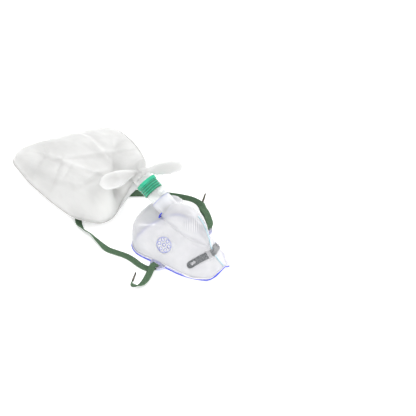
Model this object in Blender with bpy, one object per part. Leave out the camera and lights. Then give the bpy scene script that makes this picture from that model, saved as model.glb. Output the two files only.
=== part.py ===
"""Adult high-concentration oxygen mask with reservoir bag, lying rim down as it was put on a table.

Metres, +Z up. While the pieces are drawn, X runs from chin to nose with the nose tip at 0, and +Y is the
patient's right cheek. The whole assembly hangs on one empty, which moves its box's bottom centre to the origin.
"""

import math
from dataclasses import dataclass

import bmesh
import bpy
import numpy as np
from mathutils import Matrix, Vector

MM = 0.001

# Face piece
MASK_LENGTH = 129 * MM
MASK_WIDTH = 87 * MM
MASK_HEIGHT = 54 * MM
WALL = 1.4 * MM
BEAD_RADIUS = 1.25 * MM
RIB_STEPS = 30
INNER_HALF_GAP = 0.3 * MM
WALL_STEPS = 10

# Nose chamber
DOME_HALF_WIDTH = 0.2011 * MASK_WIDTH
DOME_LEAST = 0.3 * MM

# Port and the adapter pushed into it
PORT_DIAMETER = 25 * MM
PORT_WALL = 1.5 * MM
PORT_LENGTH = 19 * MM
PORT_ROOT = 12 * MM
PORT_ANGLE = math.radians(26)
PORT_LIP_DEPTH = 14 * MM
PORT_LIP_REACH = 2.2 * MM
PORT_LIP_THICKNESS = 1.2 * MM
FIT = 0.3 * MM
ADAPTER_WALL = 1.3 * MM
ADAPTER_DEPTH = 14 * MM
ADAPTER_REACH = 11.5 * MM
NIPPLE_DIAMETER = 6.4 * MM
NIPPLE_BORE = 3.4 * MM
NIPPLE_LENGTH = 19 * MM

# Green collar and the bag's neck ring
COLLAR_LENGTH = 16.5 * MM
COLLAR_WALL = 1.7 * MM
COLLAR_FLANGE = 1.0 * MM
RIDGE_COUNT = 4
RIDGE_HEIGHT = 0.55 * MM
SPIGOT_WALL = 1.2 * MM
SPIGOT_REACH = 5 * MM
VALVE_THICKNESS = 0.8 * MM

# Reservoir bag
BAG_LENGTH = 187 * MM
BAG_WIDTH = 120 * MM
BAG_THICKNESS = 40 * MM

# Vents
VENT_DIAMETER = 21 * MM
VENT_HOLE = 3.8 * MM
VENT_HOLES = 6
VENT_RISE = 0.8 * MM

# Nose clip
CLIP_WIDTH = 8.5 * MM
CLIP_THICKNESS = 0.8 * MM
STUD_DIAMETER = 2.6 * MM
STUD_RISE = 2.2 * MM
KEYHOLE_LENGTH = 6.5 * MM
BAND_FOOT = 1.6 * MM
BAND_SKIN = 1.1 * MM
BAND_LENGTH = 4.8 * MM

# Elastic
STRAP_WIDTH = 8.5 * MM
STRAP_THICKNESS = 1.1 * MM
TIP_LENGTH = 15 * MM
TIP_DIAMETER = 2.6 * MM


@dataclass(frozen=True)
class Rib:
    """One rib of the face piece, from the rim up to the middle line, in per cent of length, half width and height."""

    rim_x: float
    rim_w: float
    rim_z: float
    crown_x: float
    crown_z: float
    rise: float
    lean: float
    reach: float
    drop: float


RIBS = (
    Rib(0.0, 0.0, 34.0, 1.6, 36.5, 0.8, 0.0, 0.0, 0.8),
    Rib(2.3, 23.0, 17.0, 4.0, 38.5, 7.0, 2.0, 9.0, 3.0),
    Rib(6.5, 37.5, 5.0, 8.5, 44.0, 14.0, 3.0, 14.0, 10.0),
    Rib(12.0, 47.0, 0.0, 12.5, 51.0, 22.0, 5.0, 14.0, 18.0),
    Rib(22.0, 64.5, 0.0, 17.5, 70.0, 26.0, 8.0, 14.0, 26.0),
    Rib(34.0, 77.5, 0.0, 32.0, 86.0, 30.0, 10.0, 16.0, 24.0),
    Rib(48.0, 84.5, 0.0, 48.0, 97.0, 34.0, 14.0, 26.0, 14.0),
    Rib(62.0, 92.0, 0.0, 62.0, 95.0, 40.0, 18.0, 42.0, 6.0),
    Rib(73.0, 98.5, 0.0, 73.0, 84.0, 50.0, 5.0, 62.0, 2.0),
    Rib(82.0, 100.0, 0.0, 83.5, 75.0, 62.0, 1.0, 94.0, 0.0),
    Rib(91.0, 88.0, 0.0, 92.5, 71.5, 70.0, -2.0, 94.0, -1.0),
    Rib(97.0, 56.0, 0.0, 97.0, 68.5, 70.0, -2.0, 62.0, 0.0),
    Rib(100.0, 0.0, 0.0, 98.0, 67.0, 66.0, 0.0, 0.0, 0.0),
)


def smooth_at(values, place):
    """The value at a fractional place in a list of rows, on a Catmull-Rom curve."""
    last = len(values) - 1
    i = min(int(place), last - 1)
    t = place - i
    p = [np.asarray(values[min(max(k, 0), last)], float) for k in (i - 1, i, i + 1, i + 2)]
    return 0.5 * (
        2 * p[1]
        + (p[2] - p[0]) * t
        + (2 * p[0] - 5 * p[1] + 4 * p[2] - p[3]) * t**2
        + (3 * p[1] - p[0] - 3 * p[2] + p[3]) * t**3
    )


def shell_point(around, up, side=-1):
    """A point on the face piece's outer surface: around 0 at the nose to 1 at the chin, up 0 at the rim to 1."""
    rows = [tuple(vars(rib).values()) for rib in RIBS]
    r = smooth_at(rows, around * (len(RIBS) - 1)) / 100
    half = MASK_WIDTH / 2
    rim = np.array([-r[0] * MASK_LENGTH, max(r[1], 0) * half, r[2] * MASK_HEIGHT])
    crown = np.array([-r[3] * MASK_LENGTH, 0.0, r[4] * MASK_HEIGHT])
    low = rim + np.array([0, -r[6] * half * min(1, 4 * max(r[1], 0)), r[5] * MASK_HEIGHT])
    low[0] += 0.25 * (crown[0] - rim[0]) * (1 - around)
    high = crown + np.array([0.2 * (rim[0] - crown[0]), r[7] * half, -r[8] * MASK_HEIGHT])
    if around > 0.9:
        share = (around - 0.9) / 0.1
        high[0] += share * (rim[0] - high[0])
        high[2] = crown[2]
    t = up
    point = (1 - t) ** 3 * rim + 3 * t * (1 - t) ** 2 * low + 3 * t**2 * (1 - t) * high + t**3 * crown
    return Vector((point[0], point[1] * side, point[2]))


def shell_normal(around, up, side=-1):
    """The outward normal of the face piece at a place on its surface."""
    step = 0.004
    a0, a1 = max(around - step, 0.001), min(around + step, 0.999)
    u0, u1 = max(up - step, 0.0), min(up + step, 1.0)
    along = shell_point(a1, up, side) - shell_point(a0, up, side)
    upward = shell_point(around, u1, side) - shell_point(around, u0, side)
    normal = upward.cross(along) if side < 0 else along.cross(upward)
    return normal.normalized() if normal.length > 0 else Vector((0, 0, 1))


@dataclass(frozen=True)
class DomeSection:
    """One upright ellipse of the nose chamber, in per cent of the mask's length, height and chamber half width."""

    x: float
    z: float
    width: float
    height: float


DOME_SECTIONS = (
    DomeSection(72.9, 89.8, 66.0, 21.5),
    DomeSection(66.7, 97.2, 78.0, 24.8),
    DomeSection(58.9, 100.9, 96.0, 30.0),
    DomeSection(50.4, 101.9, 100.0, 34.8),
    DomeSection(41.9, 100.9, 90.0, 38.5),
    DomeSection(34.1, 98.1, 68.0, 39.3),
    DomeSection(27.5, 92.6, 44.0, 33.3),
    DomeSection(22.5, 85.2, 24.0, 20.4),
    DomeSection(19.4, 80.6, 9.0, 7.4),
)

PORT_END = Vector((-0.8287 * MASK_LENGTH, 0, 1.098 * MASK_HEIGHT))
PORT_AXIS = Vector((-math.cos(PORT_ANGLE), 0, math.sin(PORT_ANGLE)))
VENT_AROUND, VENT_UP = 0.556, 0.375
STUD_AROUND, STUD_UP = 0.376, 0.33
BRIDGE_AROUND = 0.284
EAR_AROUND = 0.548
EAR_REACH = 8.5 * MM
EAR_LENGTH = 18 * MM
EAR_THICKNESS = 1.8 * MM
EAR_RISE = 2.0 * MM
SLOT_LENGTH = 12 * MM
SLOT_WIDTH = 3.4 * MM


def clear_scene():
    for obj in list(bpy.data.objects):
        bpy.data.objects.remove(obj, do_unlink=True)


def linear(hex_colour):
    """An sRGB hex colour as linear RGBA."""
    channels = [int(hex_colour[i : i + 2], 16) / 255 for i in (1, 3, 5)]
    return tuple(c / 12.92 if c <= 0.04045 else ((c + 0.055) / 1.055) ** 2.4 for c in channels) + (1.0,)


def material(name, colour, roughness, metallic=0.0, alpha=1.0):
    made = bpy.data.materials.new(name)
    made.use_nodes = True
    shader = made.node_tree.nodes["Principled BSDF"]
    shader.inputs["Base Color"].default_value = linear(colour)
    shader.inputs["Roughness"].default_value = roughness
    shader.inputs["Metallic"].default_value = metallic
    shader.inputs["Alpha"].default_value = alpha
    return made


def add_object(name, bm, root, finish=None, angle=35):
    """A mesh object under the root, its faces turned outwards."""
    bm.normal_update()
    bmesh.ops.recalc_face_normals(bm, faces=bm.faces[:])
    mesh = bpy.data.meshes.new(name)
    bm.to_mesh(mesh)
    bm.free()
    mesh.shade_smooth()
    mesh.set_sharp_from_angle(angle=math.radians(angle))
    obj = bpy.data.objects.new(name, mesh)
    bpy.context.scene.collection.objects.link(obj)
    obj.parent = root
    if finish:
        mesh.materials.append(finish)
    return obj


def add_helper(name, bm, root):
    """A cutter or a shape to be joined, which is not a piece of its own."""
    obj = add_object(name, bm, root)
    obj.hide_render = True
    obj.display_type = "WIRE"
    return obj


def combine(obj, other, operation, solver="EXACT"):
    step = obj.modifiers.new(other.name, "BOOLEAN")
    step.operation = operation
    step.solver = solver
    step.object = other


def skin(rings, cap_start=True, cap_end=True):
    """A closed skin over rings of points. A ring of one point is a pole."""
    bm = bmesh.new()
    loops = [[bm.verts.new(p) for p in ring] for ring in rings]
    for low, high in zip(loops, loops[1:]):
        count = max(len(low), len(high))
        for k in range(count):
            nxt = (k + 1) % count
            if len(low) == 1:
                bm.faces.new((low[0], high[nxt], high[k]))
            elif len(high) == 1:
                bm.faces.new((low[k], low[nxt], high[0]))
            else:
                bm.faces.new((low[k], low[nxt], high[nxt], high[k]))
    for wanted, loop in ((cap_start, loops[0]), (cap_end, loops[-1])):
        if wanted and len(loop) > 2:
            bm.faces.new(loop)
    return bm


def frame_at(origin, axis, side=Vector((0, 1, 0))):
    """A matrix whose Z runs along the axis and whose Y is as near to side as it can be."""
    z = axis.normalized()
    y = (side - side.dot(z) * z).normalized()
    x = y.cross(z)
    return Matrix((x, y, z)).transposed().to_4x4() if origin is None else (
        Matrix.Translation(origin) @ Matrix((x, y, z)).transposed().to_4x4()
    )


def turned(name, profile, root, place, finish=None, steps=40):
    """A turned piece: a closed profile of (radius, height) spun about Z by a Screw modifier."""
    bm = bmesh.new()
    verts = [bm.verts.new((r, 0, z)) for r, z in profile]
    on_axis = profile[0][0] == 0 and profile[-1][0] == 0
    closing = [] if on_axis else [(verts[-1], verts[0])]
    for a, b in [*zip(verts, verts[1:]), *closing]:
        bm.edges.new((a, b))
    mesh = bpy.data.meshes.new(name)
    bm.to_mesh(mesh)
    bm.free()
    obj = bpy.data.objects.new(name, mesh)
    bpy.context.scene.collection.objects.link(obj)
    obj.parent = root
    obj.matrix_local = place
    screw = obj.modifiers.new("Turn", "SCREW")
    screw.steps = screw.render_steps = steps
    screw.use_merge_vertices = True
    screw.merge_threshold = 0.00001
    screw.use_smooth_shade = True
    if finish:
        mesh.materials.append(finish)
    return obj


def turned_helper(name, profile, root, place, steps=40):
    obj = turned(name, profile, root, place, steps=steps)
    obj.hide_render = True
    obj.display_type = "WIRE"
    return obj


def rod(radius, length, sides=24, start=0.0):
    """A plain cylinder along Z."""
    rings = []
    for z in (start, start + length):
        rings.append([(radius * math.cos(a), radius * math.sin(a), z) for a in ring_angles(sides)])
    return skin(rings)


def ring_angles(sides):
    return [2 * math.pi * k / sides for k in range(sides)]


def bowl_rings(inset):
    """Rings from the rim to the crown, the whole way round, moved inwards by the inset."""
    rings = []
    for level in range(WALL_STEPS + 1):
        up = level / WALL_STEPS
        near = []
        for k in range(RIB_STEPS + 1):
            around = k / RIB_STEPS
            point = shell_point(around, up)
            if inset:
                point -= shell_normal(around, up) * inset
                point.y = min(point.y, -INNER_HALF_GAP)
            near.append(point)
        near[0].y = near[-1].y = 0
        if level == WALL_STEPS:
            for point in near:
                point.y = 0
        far = [Vector((p.x, -p.y, p.z)) for p in near[-2:0:-1]]
        rings.append(near + far)
    return rings


def bowl_solid(inset):
    """The skirt as a closed solid. The inner one runs on below the rim, so that it leaves the rim open."""
    rings = bowl_rings(inset)
    if inset:
        drop = Vector((0, 0, -MASK_HEIGHT))
        rings.insert(0, [p + drop for p in rings[0]])
        for p in rings[0]:
            p.z = -MASK_HEIGHT
    else:
        middle = Vector((-MASK_LENGTH * 0.5, 0, 0))
        rings.insert(0, [middle])
    bm = skin(rings, cap_start=bool(inset), cap_end=False)
    bmesh.ops.remove_doubles(bm, verts=bm.verts[:], dist=0.00002)
    return bm


def dome_solid(inset):
    """The nose chamber: ellipses in upright planes, from inside the port to the bridge of the nose."""
    rings = []
    for section in DOME_SECTIONS:
        x = inset * 0.5 - section.x / 100 * MASK_LENGTH
        z = section.z / 100 * MASK_HEIGHT
        wide = max(section.width / 100 * DOME_HALF_WIDTH - inset, DOME_LEAST)
        tall = max(section.height / 100 * MASK_HEIGHT - inset, DOME_LEAST)
        rings.append([(x, wide * math.cos(a), z + tall * math.sin(a)) for a in ring_angles(28)])
    return skin(rings)


def rim_bead():
    """The rolled edge along the whole rim."""
    rim = bowl_rings(0)[0]
    rings = []
    count = len(rim)
    for k, point in enumerate(rim):
        along = (rim[(k + 1) % count] - rim[k - 1]).normalized()
        out = along.cross(Vector((0, 0, 1))).normalized()
        up = out.cross(along).normalized()
        centre = point + up * BEAD_RADIUS
        rings.append([centre + BEAD_RADIUS * (math.cos(a) * out + math.sin(a) * up) for a in ring_angles(8)])
    rings.append(rings[0])
    bm = skin(rings, cap_start=False, cap_end=False)
    bmesh.ops.remove_doubles(bm, verts=bm.verts[:], dist=0.00001)
    return bm


def vent_place(side):
    """The vent's frame on the side wall, Z outwards."""
    return frame_at(
        shell_point(VENT_AROUND, VENT_UP, side), shell_normal(VENT_AROUND, VENT_UP, side), Vector((0, 0, 1))
    )


def vent_boss(side):
    """The raised disc of a vent, which stands proud of the wall."""
    bm = rod(VENT_DIAMETER / 2, WALL * 2 + VENT_RISE, 28, start=-WALL * 2)
    bm.transform(vent_place(side))
    return bm


def vent_cutter(side):
    """The dished face inside the ring, and the seven holes through it."""
    bm = bmesh.new()
    spots = [(0.0, 0.0)]
    for a in ring_angles(VENT_HOLES):
        spots.append((VENT_DIAMETER * 0.31 * math.cos(a), VENT_DIAMETER * 0.31 * math.sin(a)))
    for x, y in spots:
        hole = rod(VENT_HOLE / 2, WALL * 10, 12, start=-WALL * 5)
        hole.transform(Matrix.Translation((x, y, 0)))
        piece = bpy.data.meshes.new("hole")
        hole.to_mesh(piece)
        hole.free()
        bm.from_mesh(piece)
        bpy.data.meshes.remove(piece)
    bm.transform(vent_place(side))
    return bm


def box(low, high):
    """A plain block between two corners."""
    bm = bmesh.new()
    bmesh.ops.create_cube(bm, size=1.0)
    size = Vector(high) - Vector(low)
    middle = (Vector(high) + Vector(low)) / 2
    bm.transform(Matrix.Translation(middle) @ Matrix.Diagonal((*size, 1)))
    return bm


def ear_origin(side):
    """The middle of the rim where a strap ear stands out, at the ear's underside."""
    return shell_point(EAR_AROUND, 0, side) + Vector((0, 0, EAR_RISE))


def ear_plate(side):
    """A flat ear with rounded outer corners, which stands out from the rim."""
    origin = ear_origin(side)
    half = EAR_LENGTH / 2
    radius = EAR_REACH * 0.55
    outline = [(-half - radius * 0.3, -WALL), (half + radius * 0.3, -WALL)]
    for centre_x, start in ((half - radius, 0.0), (-half + radius, 90.0)):
        for k in range(6):
            a = math.radians(start + 18 * k)
            outline.append((centre_x + radius * math.cos(a), EAR_REACH - radius + radius * math.sin(a)))
    rings = []
    for z in (0.0, EAR_THICKNESS):
        rings.append([(origin.x + x, origin.y + side * y, origin.z + z) for x, y in outline])
    return skin(rings)


def slot_cutter(side):
    origin = ear_origin(side)
    middle = side * EAR_REACH * 0.5
    low = (origin.x - SLOT_LENGTH / 2, origin.y + middle - SLOT_WIDTH / 2, origin.z - EAR_THICKNESS)
    high = (origin.x + SLOT_LENGTH / 2, origin.y + middle + SLOT_WIDTH / 2, origin.z + 2 * EAR_THICKNESS)
    bm = box(low, high)
    upright = [e for e in bm.edges if abs(e.verts[0].co.z - e.verts[1].co.z) > 1e-5]
    bmesh.ops.bevel(bm, geom=upright, offset=SLOT_WIDTH * 0.45, segments=4, affect="EDGES")
    return bm


def clip_stations(count=25):
    """Points and normals along the clip's middle line, over the bridge from one stud to the other."""
    stations = []
    for k in range(count):
        t = 2 * k / (count - 1) - 1
        side = -1 if t < 0 else 1
        away = abs(t)
        around = BRIDGE_AROUND + (STUD_AROUND - BRIDGE_AROUND) * away**0.8
        up = 1 - (1 - STUD_UP) * away
        point = shell_point(around, up, side)
        normal = shell_normal(around, min(up, 0.97), side)
        if away < 0.05:
            normal = Vector((normal.x, 0, normal.z)).normalized()
        stations.append((point, normal))
    return stations


def smoothed(vectors, rounds):
    for _ in range(rounds):
        inner = [(a + 2 * b + c) / 4 for a, b, c in zip(vectors, vectors[1:], vectors[2:])]
        vectors = [vectors[0], *inner, vectors[-1]]
    return vectors


def clip_line(lift):
    """The clip's middle line lifted off the shell, with its unit normals and its width directions."""
    stations = clip_stations()
    normals = [n.normalized() for n in smoothed([n for _, n in stations], 4)]
    points = smoothed([p + n * lift for (p, _), n in zip(stations, normals)], 1)
    frames = []
    for k, point in enumerate(points):
        along = (points[min(k + 1, len(points) - 1)] - points[max(k - 1, 0)]).normalized()
        wide = along.cross(normals[k]).normalized()
        frames.append((point, along, wide, wide.cross(along).normalized()))
    return frames


def strip(frames, width, thickness, round_ends=True):
    """A flat strip swept along frames, with half-round ends."""
    first, last = frames[0], frames[-1]
    rows = []
    if round_ends:
        for k in range(4):
            a = math.radians(15 + 25 * k)
            rows.append((first, -math.cos(a), math.sin(a)))
    for frame in frames:
        rows.append((frame, 0.0, 1.0))
    if round_ends:
        for k in range(4):
            a = math.radians(90 - 25 * k)
            rows.append((last, math.cos(a), math.sin(a)))
    rings = []
    for (point, along, wide, out), shift, share in rows:
        centre = point + along * (shift * width / 2)
        across = wide * (width / 2 * share)
        high = out * (thickness / 2)
        rings.append([centre - across - high, centre + across - high, centre + across + high, centre - across + high])
    return skin(rings)


def clip_lift(extra=0.0):
    return FIT * 2.5 + CLIP_THICKNESS / 2 + extra


def stud(side):
    """A headed PVC stud, which the clip's keyhole snaps over."""
    frame = clip_line(clip_lift())[1 if side < 0 else -2]
    place = frame_at(frame[0], frame[3])
    shank = rod(STUD_DIAMETER / 2, STUD_RISE + 3 * WALL, 14, start=-3 * WALL)
    shank.transform(place)
    return shank


def stud_head(side):
    frame = clip_line(clip_lift())[1 if side < 0 else -2]
    place = frame_at(frame[0], frame[3])
    head = rod(STUD_DIAMETER * 0.8, STUD_RISE * 0.45, 14, start=CLIP_THICKNESS / 2 + FIT)
    head.transform(place)
    return head


def keyhole(side):
    """The long hole at the clip's end, with the stud at its outer end."""
    point, along, wide, out = clip_line(clip_lift())[1 if side < 0 else -2]
    inward = along if side < 0 else -along
    radius = STUD_DIAMETER / 2 + FIT
    outline = []
    for a in ring_angles(16):
        turn = a + math.pi / 16
        run = KEYHOLE_LENGTH - 2 * radius if math.cos(turn) > 0 else 0.0
        outline.append(inward * (run + radius * math.cos(turn)) + wide * (radius * math.sin(turn)))
    depth = out * (CLIP_THICKNESS * 3)
    return skin([[point + p - depth for p in outline], [point + p + depth for p in outline]])


def band_loop():
    """The moulded band that holds the clip near the bridge: a bridge over the strip with two feet."""
    frame = clip_line(clip_lift())[9]
    place = Matrix((frame[1], frame[2], frame[3])).transposed().to_4x4()
    place = Matrix.Translation(frame[0]) @ place
    half_gap = CLIP_WIDTH / 2 + FIT * 1.5
    top = CLIP_THICKNESS / 2 + FIT
    foot = BAND_FOOT
    shoulder = top + FIT
    crest = top + BAND_SKIN
    outline = (
        (-half_gap - foot, -3 * WALL),
        (-half_gap, -3 * WALL),
        (-half_gap, top),
        (half_gap, top),
        (half_gap, -3 * WALL),
        (half_gap + foot, -3 * WALL),
        (half_gap + foot, shoulder),
        (half_gap, crest),
        (-half_gap, crest),
        (-half_gap - foot, shoulder),
    )
    rings = [[(x, y, z) for y, z in outline] for x in (-BAND_LENGTH / 2, BAND_LENGTH / 2)]
    bm = skin(rings)
    bm.transform(place)
    return bm


def port_lip():
    """The short lip at the root of the port, on the near side towards the chin."""
    side, fall = Vector((0, -1, 0)), Vector((-math.sin(PORT_ANGLE), 0, -math.cos(PORT_ANGLE)))
    inner = PORT_DIAMETER / 2 - PORT_WALL / 2
    rings = []
    for k in range(9):
        a = math.radians(-12 + 9.5 * k)
        reach = PORT_DIAMETER / 2 + PORT_LIP_REACH * math.sin(math.pi * (k + 1) / 10)
        way = math.cos(a) * side + math.sin(a) * fall
        top = PORT_END - PORT_AXIS * PORT_LIP_DEPTH
        foot = top - PORT_AXIS * PORT_LIP_THICKNESS
        rings.append([top + way * inner, top + way * reach, foot + way * reach, foot + way * inner])
    return skin(rings)


def make_shell(root, pvc):
    shell = add_object("mask_shell", bowl_solid(0), root, pvc)
    port_place = frame_at(PORT_END, PORT_AXIS)
    port_depth = PORT_LENGTH + PORT_ROOT
    port = add_helper("port_form", rod(PORT_DIAMETER / 2, port_depth, 40, start=-port_depth), root)
    port.matrix_local = port_place
    bore_depth = PORT_LENGTH + PORT_ROOT * 0.75
    bore = add_helper("port_bore", rod(PORT_DIAMETER / 2 - PORT_WALL, bore_depth * 2, 40, start=-bore_depth), root)
    bore.matrix_local = port_place
    combine(shell, add_helper("dome_form", dome_solid(0), root), "UNION", "MANIFOLD")
    combine(shell, port, "UNION", "MANIFOLD")
    combine(shell, add_helper("port_lip", port_lip(), root), "UNION", "MANIFOLD")
    combine(shell, add_helper("rim_bead", rim_bead(), root), "UNION", "MANIFOLD")
    for side, label in ((-1, "near"), (1, "far")):
        combine(shell, add_helper(f"vent_boss_{label}", vent_boss(side), root), "UNION", "MANIFOLD")
        combine(shell, add_helper(f"stud_{label}", stud(side), root), "UNION", "MANIFOLD")
        combine(shell, add_helper(f"ear_{label}", ear_plate(side), root), "UNION", "MANIFOLD")
    combine(shell, add_helper("clip_band", band_loop(), root), "UNION", "MANIFOLD")
    combine(shell, add_helper("bowl_hollow", bowl_solid(WALL), root), "DIFFERENCE", "MANIFOLD")
    combine(shell, add_helper("dome_hollow", dome_solid(WALL), root), "DIFFERENCE", "MANIFOLD")
    combine(shell, bore, "DIFFERENCE", "MANIFOLD")
    for side, label in ((-1, "near"), (1, "far")):
        combine(shell, add_helper(f"vent_holes_{label}", vent_cutter(side), root), "DIFFERENCE", "MANIFOLD")
        combine(shell, add_helper(f"ear_slot_{label}", slot_cutter(side), root), "DIFFERENCE", "MANIFOLD")
        combine(shell, add_helper(f"stud_head_{label}", stud_head(side), root), "UNION", "MANIFOLD")
    return shell


def make_clip(root, aluminium):
    clip = add_object("nose_clip", strip(clip_line(clip_lift()), CLIP_WIDTH, CLIP_THICKNESS), root, aluminium)
    for side, label in ((-1, "near"), (1, "far")):
        combine(clip, add_helper(f"keyhole_{label}", keyhole(side), root), "DIFFERENCE")
    return clip


def adapter_sizes():
    """Radii and heights of the adapter above the port's end, worked out from the port outwards."""
    insert = PORT_DIAMETER / 2 - PORT_WALL - FIT
    return {
        "insert": insert,
        "shoulder": insert + 0.6 * MM,
        "neck": insert - 0.3 * MM,
        "bore": insert - 0.3 * MM - ADAPTER_WALL,
        "neck_top": ADAPTER_REACH + COLLAR_LENGTH * 0.45,
    }


def make_adapter(root, clear, silicone):
    sizes = adapter_sizes()
    place = frame_at(PORT_END, PORT_AXIS)
    seat = ADAPTER_REACH + 2 * MM
    outer = (
        (sizes["neck"], sizes["neck_top"]),
        (sizes["neck"], ADAPTER_REACH),
        (sizes["shoulder"], ADAPTER_REACH),
        (sizes["shoulder"], FIT),
        (sizes["insert"], FIT),
        (sizes["insert"] - 0.4 * MM, -ADAPTER_DEPTH),
        (sizes["bore"], -ADAPTER_DEPTH),
        (sizes["bore"], seat - 1.4 * MM),
        (sizes["bore"] - 1.6 * MM, seat - 1.4 * MM),
        (sizes["bore"] - 1.6 * MM, seat),
        (sizes["bore"], seat),
        (sizes["bore"], sizes["neck_top"]),
    )
    body = turned("connector_body", outer, root, place, clear)
    for k in range(2):
        bar = box((-sizes["bore"], -0.7 * MM, seat - 1.2 * MM), (sizes["bore"], 0.7 * MM, seat - 0.1 * MM))
        bar.transform(Matrix.Rotation(math.radians(90 * k), 4, "Z"))
        helper = add_helper(f"seat_bar_{k}", bar, root)
        helper.matrix_local = place
        combine(body, helper, "UNION")
    pin = turned_helper(
        "seat_pin",
        (
            (0, seat + 2.6 * MM),
            (2.0 * MM, seat + 2.0 * MM),
            (2.0 * MM, seat + VALVE_THICKNESS + 2 * FIT),
            (1.2 * MM, seat + VALVE_THICKNESS + 2 * FIT),
            (1.2 * MM, seat - 1.0 * MM),
            (0, seat - 1.0 * MM),
        ),
        root,
        place,
        16,
    )
    combine(body, pin, "UNION")
    nipple_axis = frame_at(Vector((0, 0, ADAPTER_REACH * 0.45)), Vector((1, 0, 0)))
    reach = sizes["shoulder"] + NIPPLE_LENGTH
    radius = NIPPLE_DIAMETER / 2
    profile = [(NIPPLE_BORE / 2, reach), (NIPPLE_BORE / 2, sizes["bore"] + 0.5 * MM)]
    profile += [(radius * 1.25, sizes["bore"] + 0.5 * MM), (radius * 1.25, sizes["shoulder"] + 1.5 * MM)]
    for k in range(3):
        z = sizes["shoulder"] + NIPPLE_LENGTH * (0.3 + 0.22 * k)
        profile += [(radius * 0.9, z), (radius, z + 0.1 * MM), (radius * 0.88, z + NIPPLE_LENGTH * 0.2)]
    profile.append((radius * 0.8, reach))
    nipple = turned_helper("gas_nipple", profile[::-1], root, place @ nipple_axis, 24)
    combine(body, nipple, "UNION")
    drill = add_helper("nipple_bore", rod(NIPPLE_BORE / 2, reach * 2, 20, start=sizes["bore"] * 0.5), root)
    drill.matrix_local = place @ nipple_axis
    combine(body, drill, "DIFFERENCE")
    disc = (
        (sizes["bore"] - 0.5 * MM, seat + FIT + VALVE_THICKNESS),
        (sizes["bore"] - 0.5 * MM, seat + FIT),
        (1.2 * MM + FIT, seat + FIT),
        (1.2 * MM + FIT, seat + FIT + VALVE_THICKNESS),
    )
    turned("valve_disc", disc, root, place, silicone, 32)


def make_collar(root, green, clear):
    sizes = adapter_sizes()
    place = frame_at(PORT_END, PORT_AXIS)
    bore = sizes["neck"] + FIT
    radius = bore + COLLAR_WALL
    foot = ADAPTER_REACH + FIT
    top = foot + COLLAR_LENGTH
    brim = top - 4.2 * MM
    profile = [(radius + COLLAR_FLANGE, top), (radius + COLLAR_FLANGE, brim)]
    span = brim - foot
    for k in range(RIDGE_COUNT):
        z = brim - span * (k + 0.35) / RIDGE_COUNT
        half = span / RIDGE_COUNT * 0.28
        profile += [(radius, z + half), (radius + RIDGE_HEIGHT, z + half * 0.4)]
        profile += [(radius + RIDGE_HEIGHT, z - half * 0.4), (radius, z - half)]
    profile += [(radius, foot), (bore, foot), (bore, top)]
    turned("bag_collar", profile, root, place, green)
    low = sizes["neck_top"] + FIT
    high = top + SPIGOT_REACH
    spigot = (
        (sizes["neck"] + 0.9 * MM, high),
        (sizes["neck"] + 0.9 * MM, top + FIT),
        (sizes["neck"], top + FIT),
        (sizes["neck"], low),
        (sizes["neck"] - SPIGOT_WALL, low),
        (sizes["neck"] - SPIGOT_WALL, high),
    )
    turned("bag_spigot", spigot, root, place, clear, 32)
    return PORT_END + PORT_AXIS * (high + FIT)


@dataclass(frozen=True)
class BagRib:
    """One cross-section of the bag between its two welded edges.

    Each edge is in per cent of the bag's length from the neck, of its width and of the neck's height.
    The puff is the film's half thickness between them, in per cent of the bag's thickness.
    """

    near: tuple
    far: tuple
    puff: float


BAG_RIBS = (
    BagRib((6.4, -3.3, 82.4), (11.2, 20.0, 101.3), 20.0),
    BagRib((10.6, -3.3, 60.8), (17.6, 27.5, 90.5), 30.0),
    BagRib((13.9, -2.5, 40.5), (26.7, 35.8, 81.0), 37.5),
    BagRib((16.0, -4.2, 28.4), (36.3, 42.5, 72.9), 42.5),
    BagRib((15.5, -8.3, 21.6), (45.4, 47.5, 64.8), 45.0),
    BagRib((13.9, -15.0, 17.6), (53.4, 50.0, 59.4), 47.5),
    BagRib((12.2, -25.8, 16.2), (60.9, 48.3, 54.0), 50.0),
    BagRib((14.9, -37.5, 14.9), (67.9, 41.7, 48.6), 50.0),
    BagRib((22.4, -45.0, 14.9), (73.7, 32.5, 43.2), 50.0),
    BagRib((32.6, -50.0, 13.5), (79.6, 22.5, 37.8), 47.5),
    BagRib((46.5, -50.0, 13.5), (86.0, 10.8, 31.1), 42.5),
    BagRib((60.9, -47.5, 12.2), (92.5, 0.0, 24.3), 37.5),
    BagRib((74.8, -44.2, 10.8), (97.3, -10.0, 17.6), 30.0),
    BagRib((87.1, -39.2, 10.8), (99.9, -20.0, 13.5), 20.0),
    BagRib((94.6, -35.8, 10.8), (98.9, -25.0, 10.8), 10.0),
)
BAG_END = (97.5, -31.2, 10.8)
BAG_SIDES = 32
BAG_RINGS = 26
FLOOR_CLEAR = 2.2 * MM
EAR_FOLD_LENGTH = 53 * MM
EAR_FOLD_WIDTH = 21 * MM
EAR_FOLD_THICKNESS = 7 * MM
EAR_FOLD_START = 11.6 * MM
EAR_FOLD_SINK = 3 * MM


def bag_point(mouth, share):
    """A place of the bag, from its shares of the bag's length and width and of the neck's height."""
    along, across, height = share[0] / 100, share[1] / 100, share[2] / 100
    return Vector((mouth.x - along * BAG_LENGTH, across * BAG_WIDTH, height * mouth.z))


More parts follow.
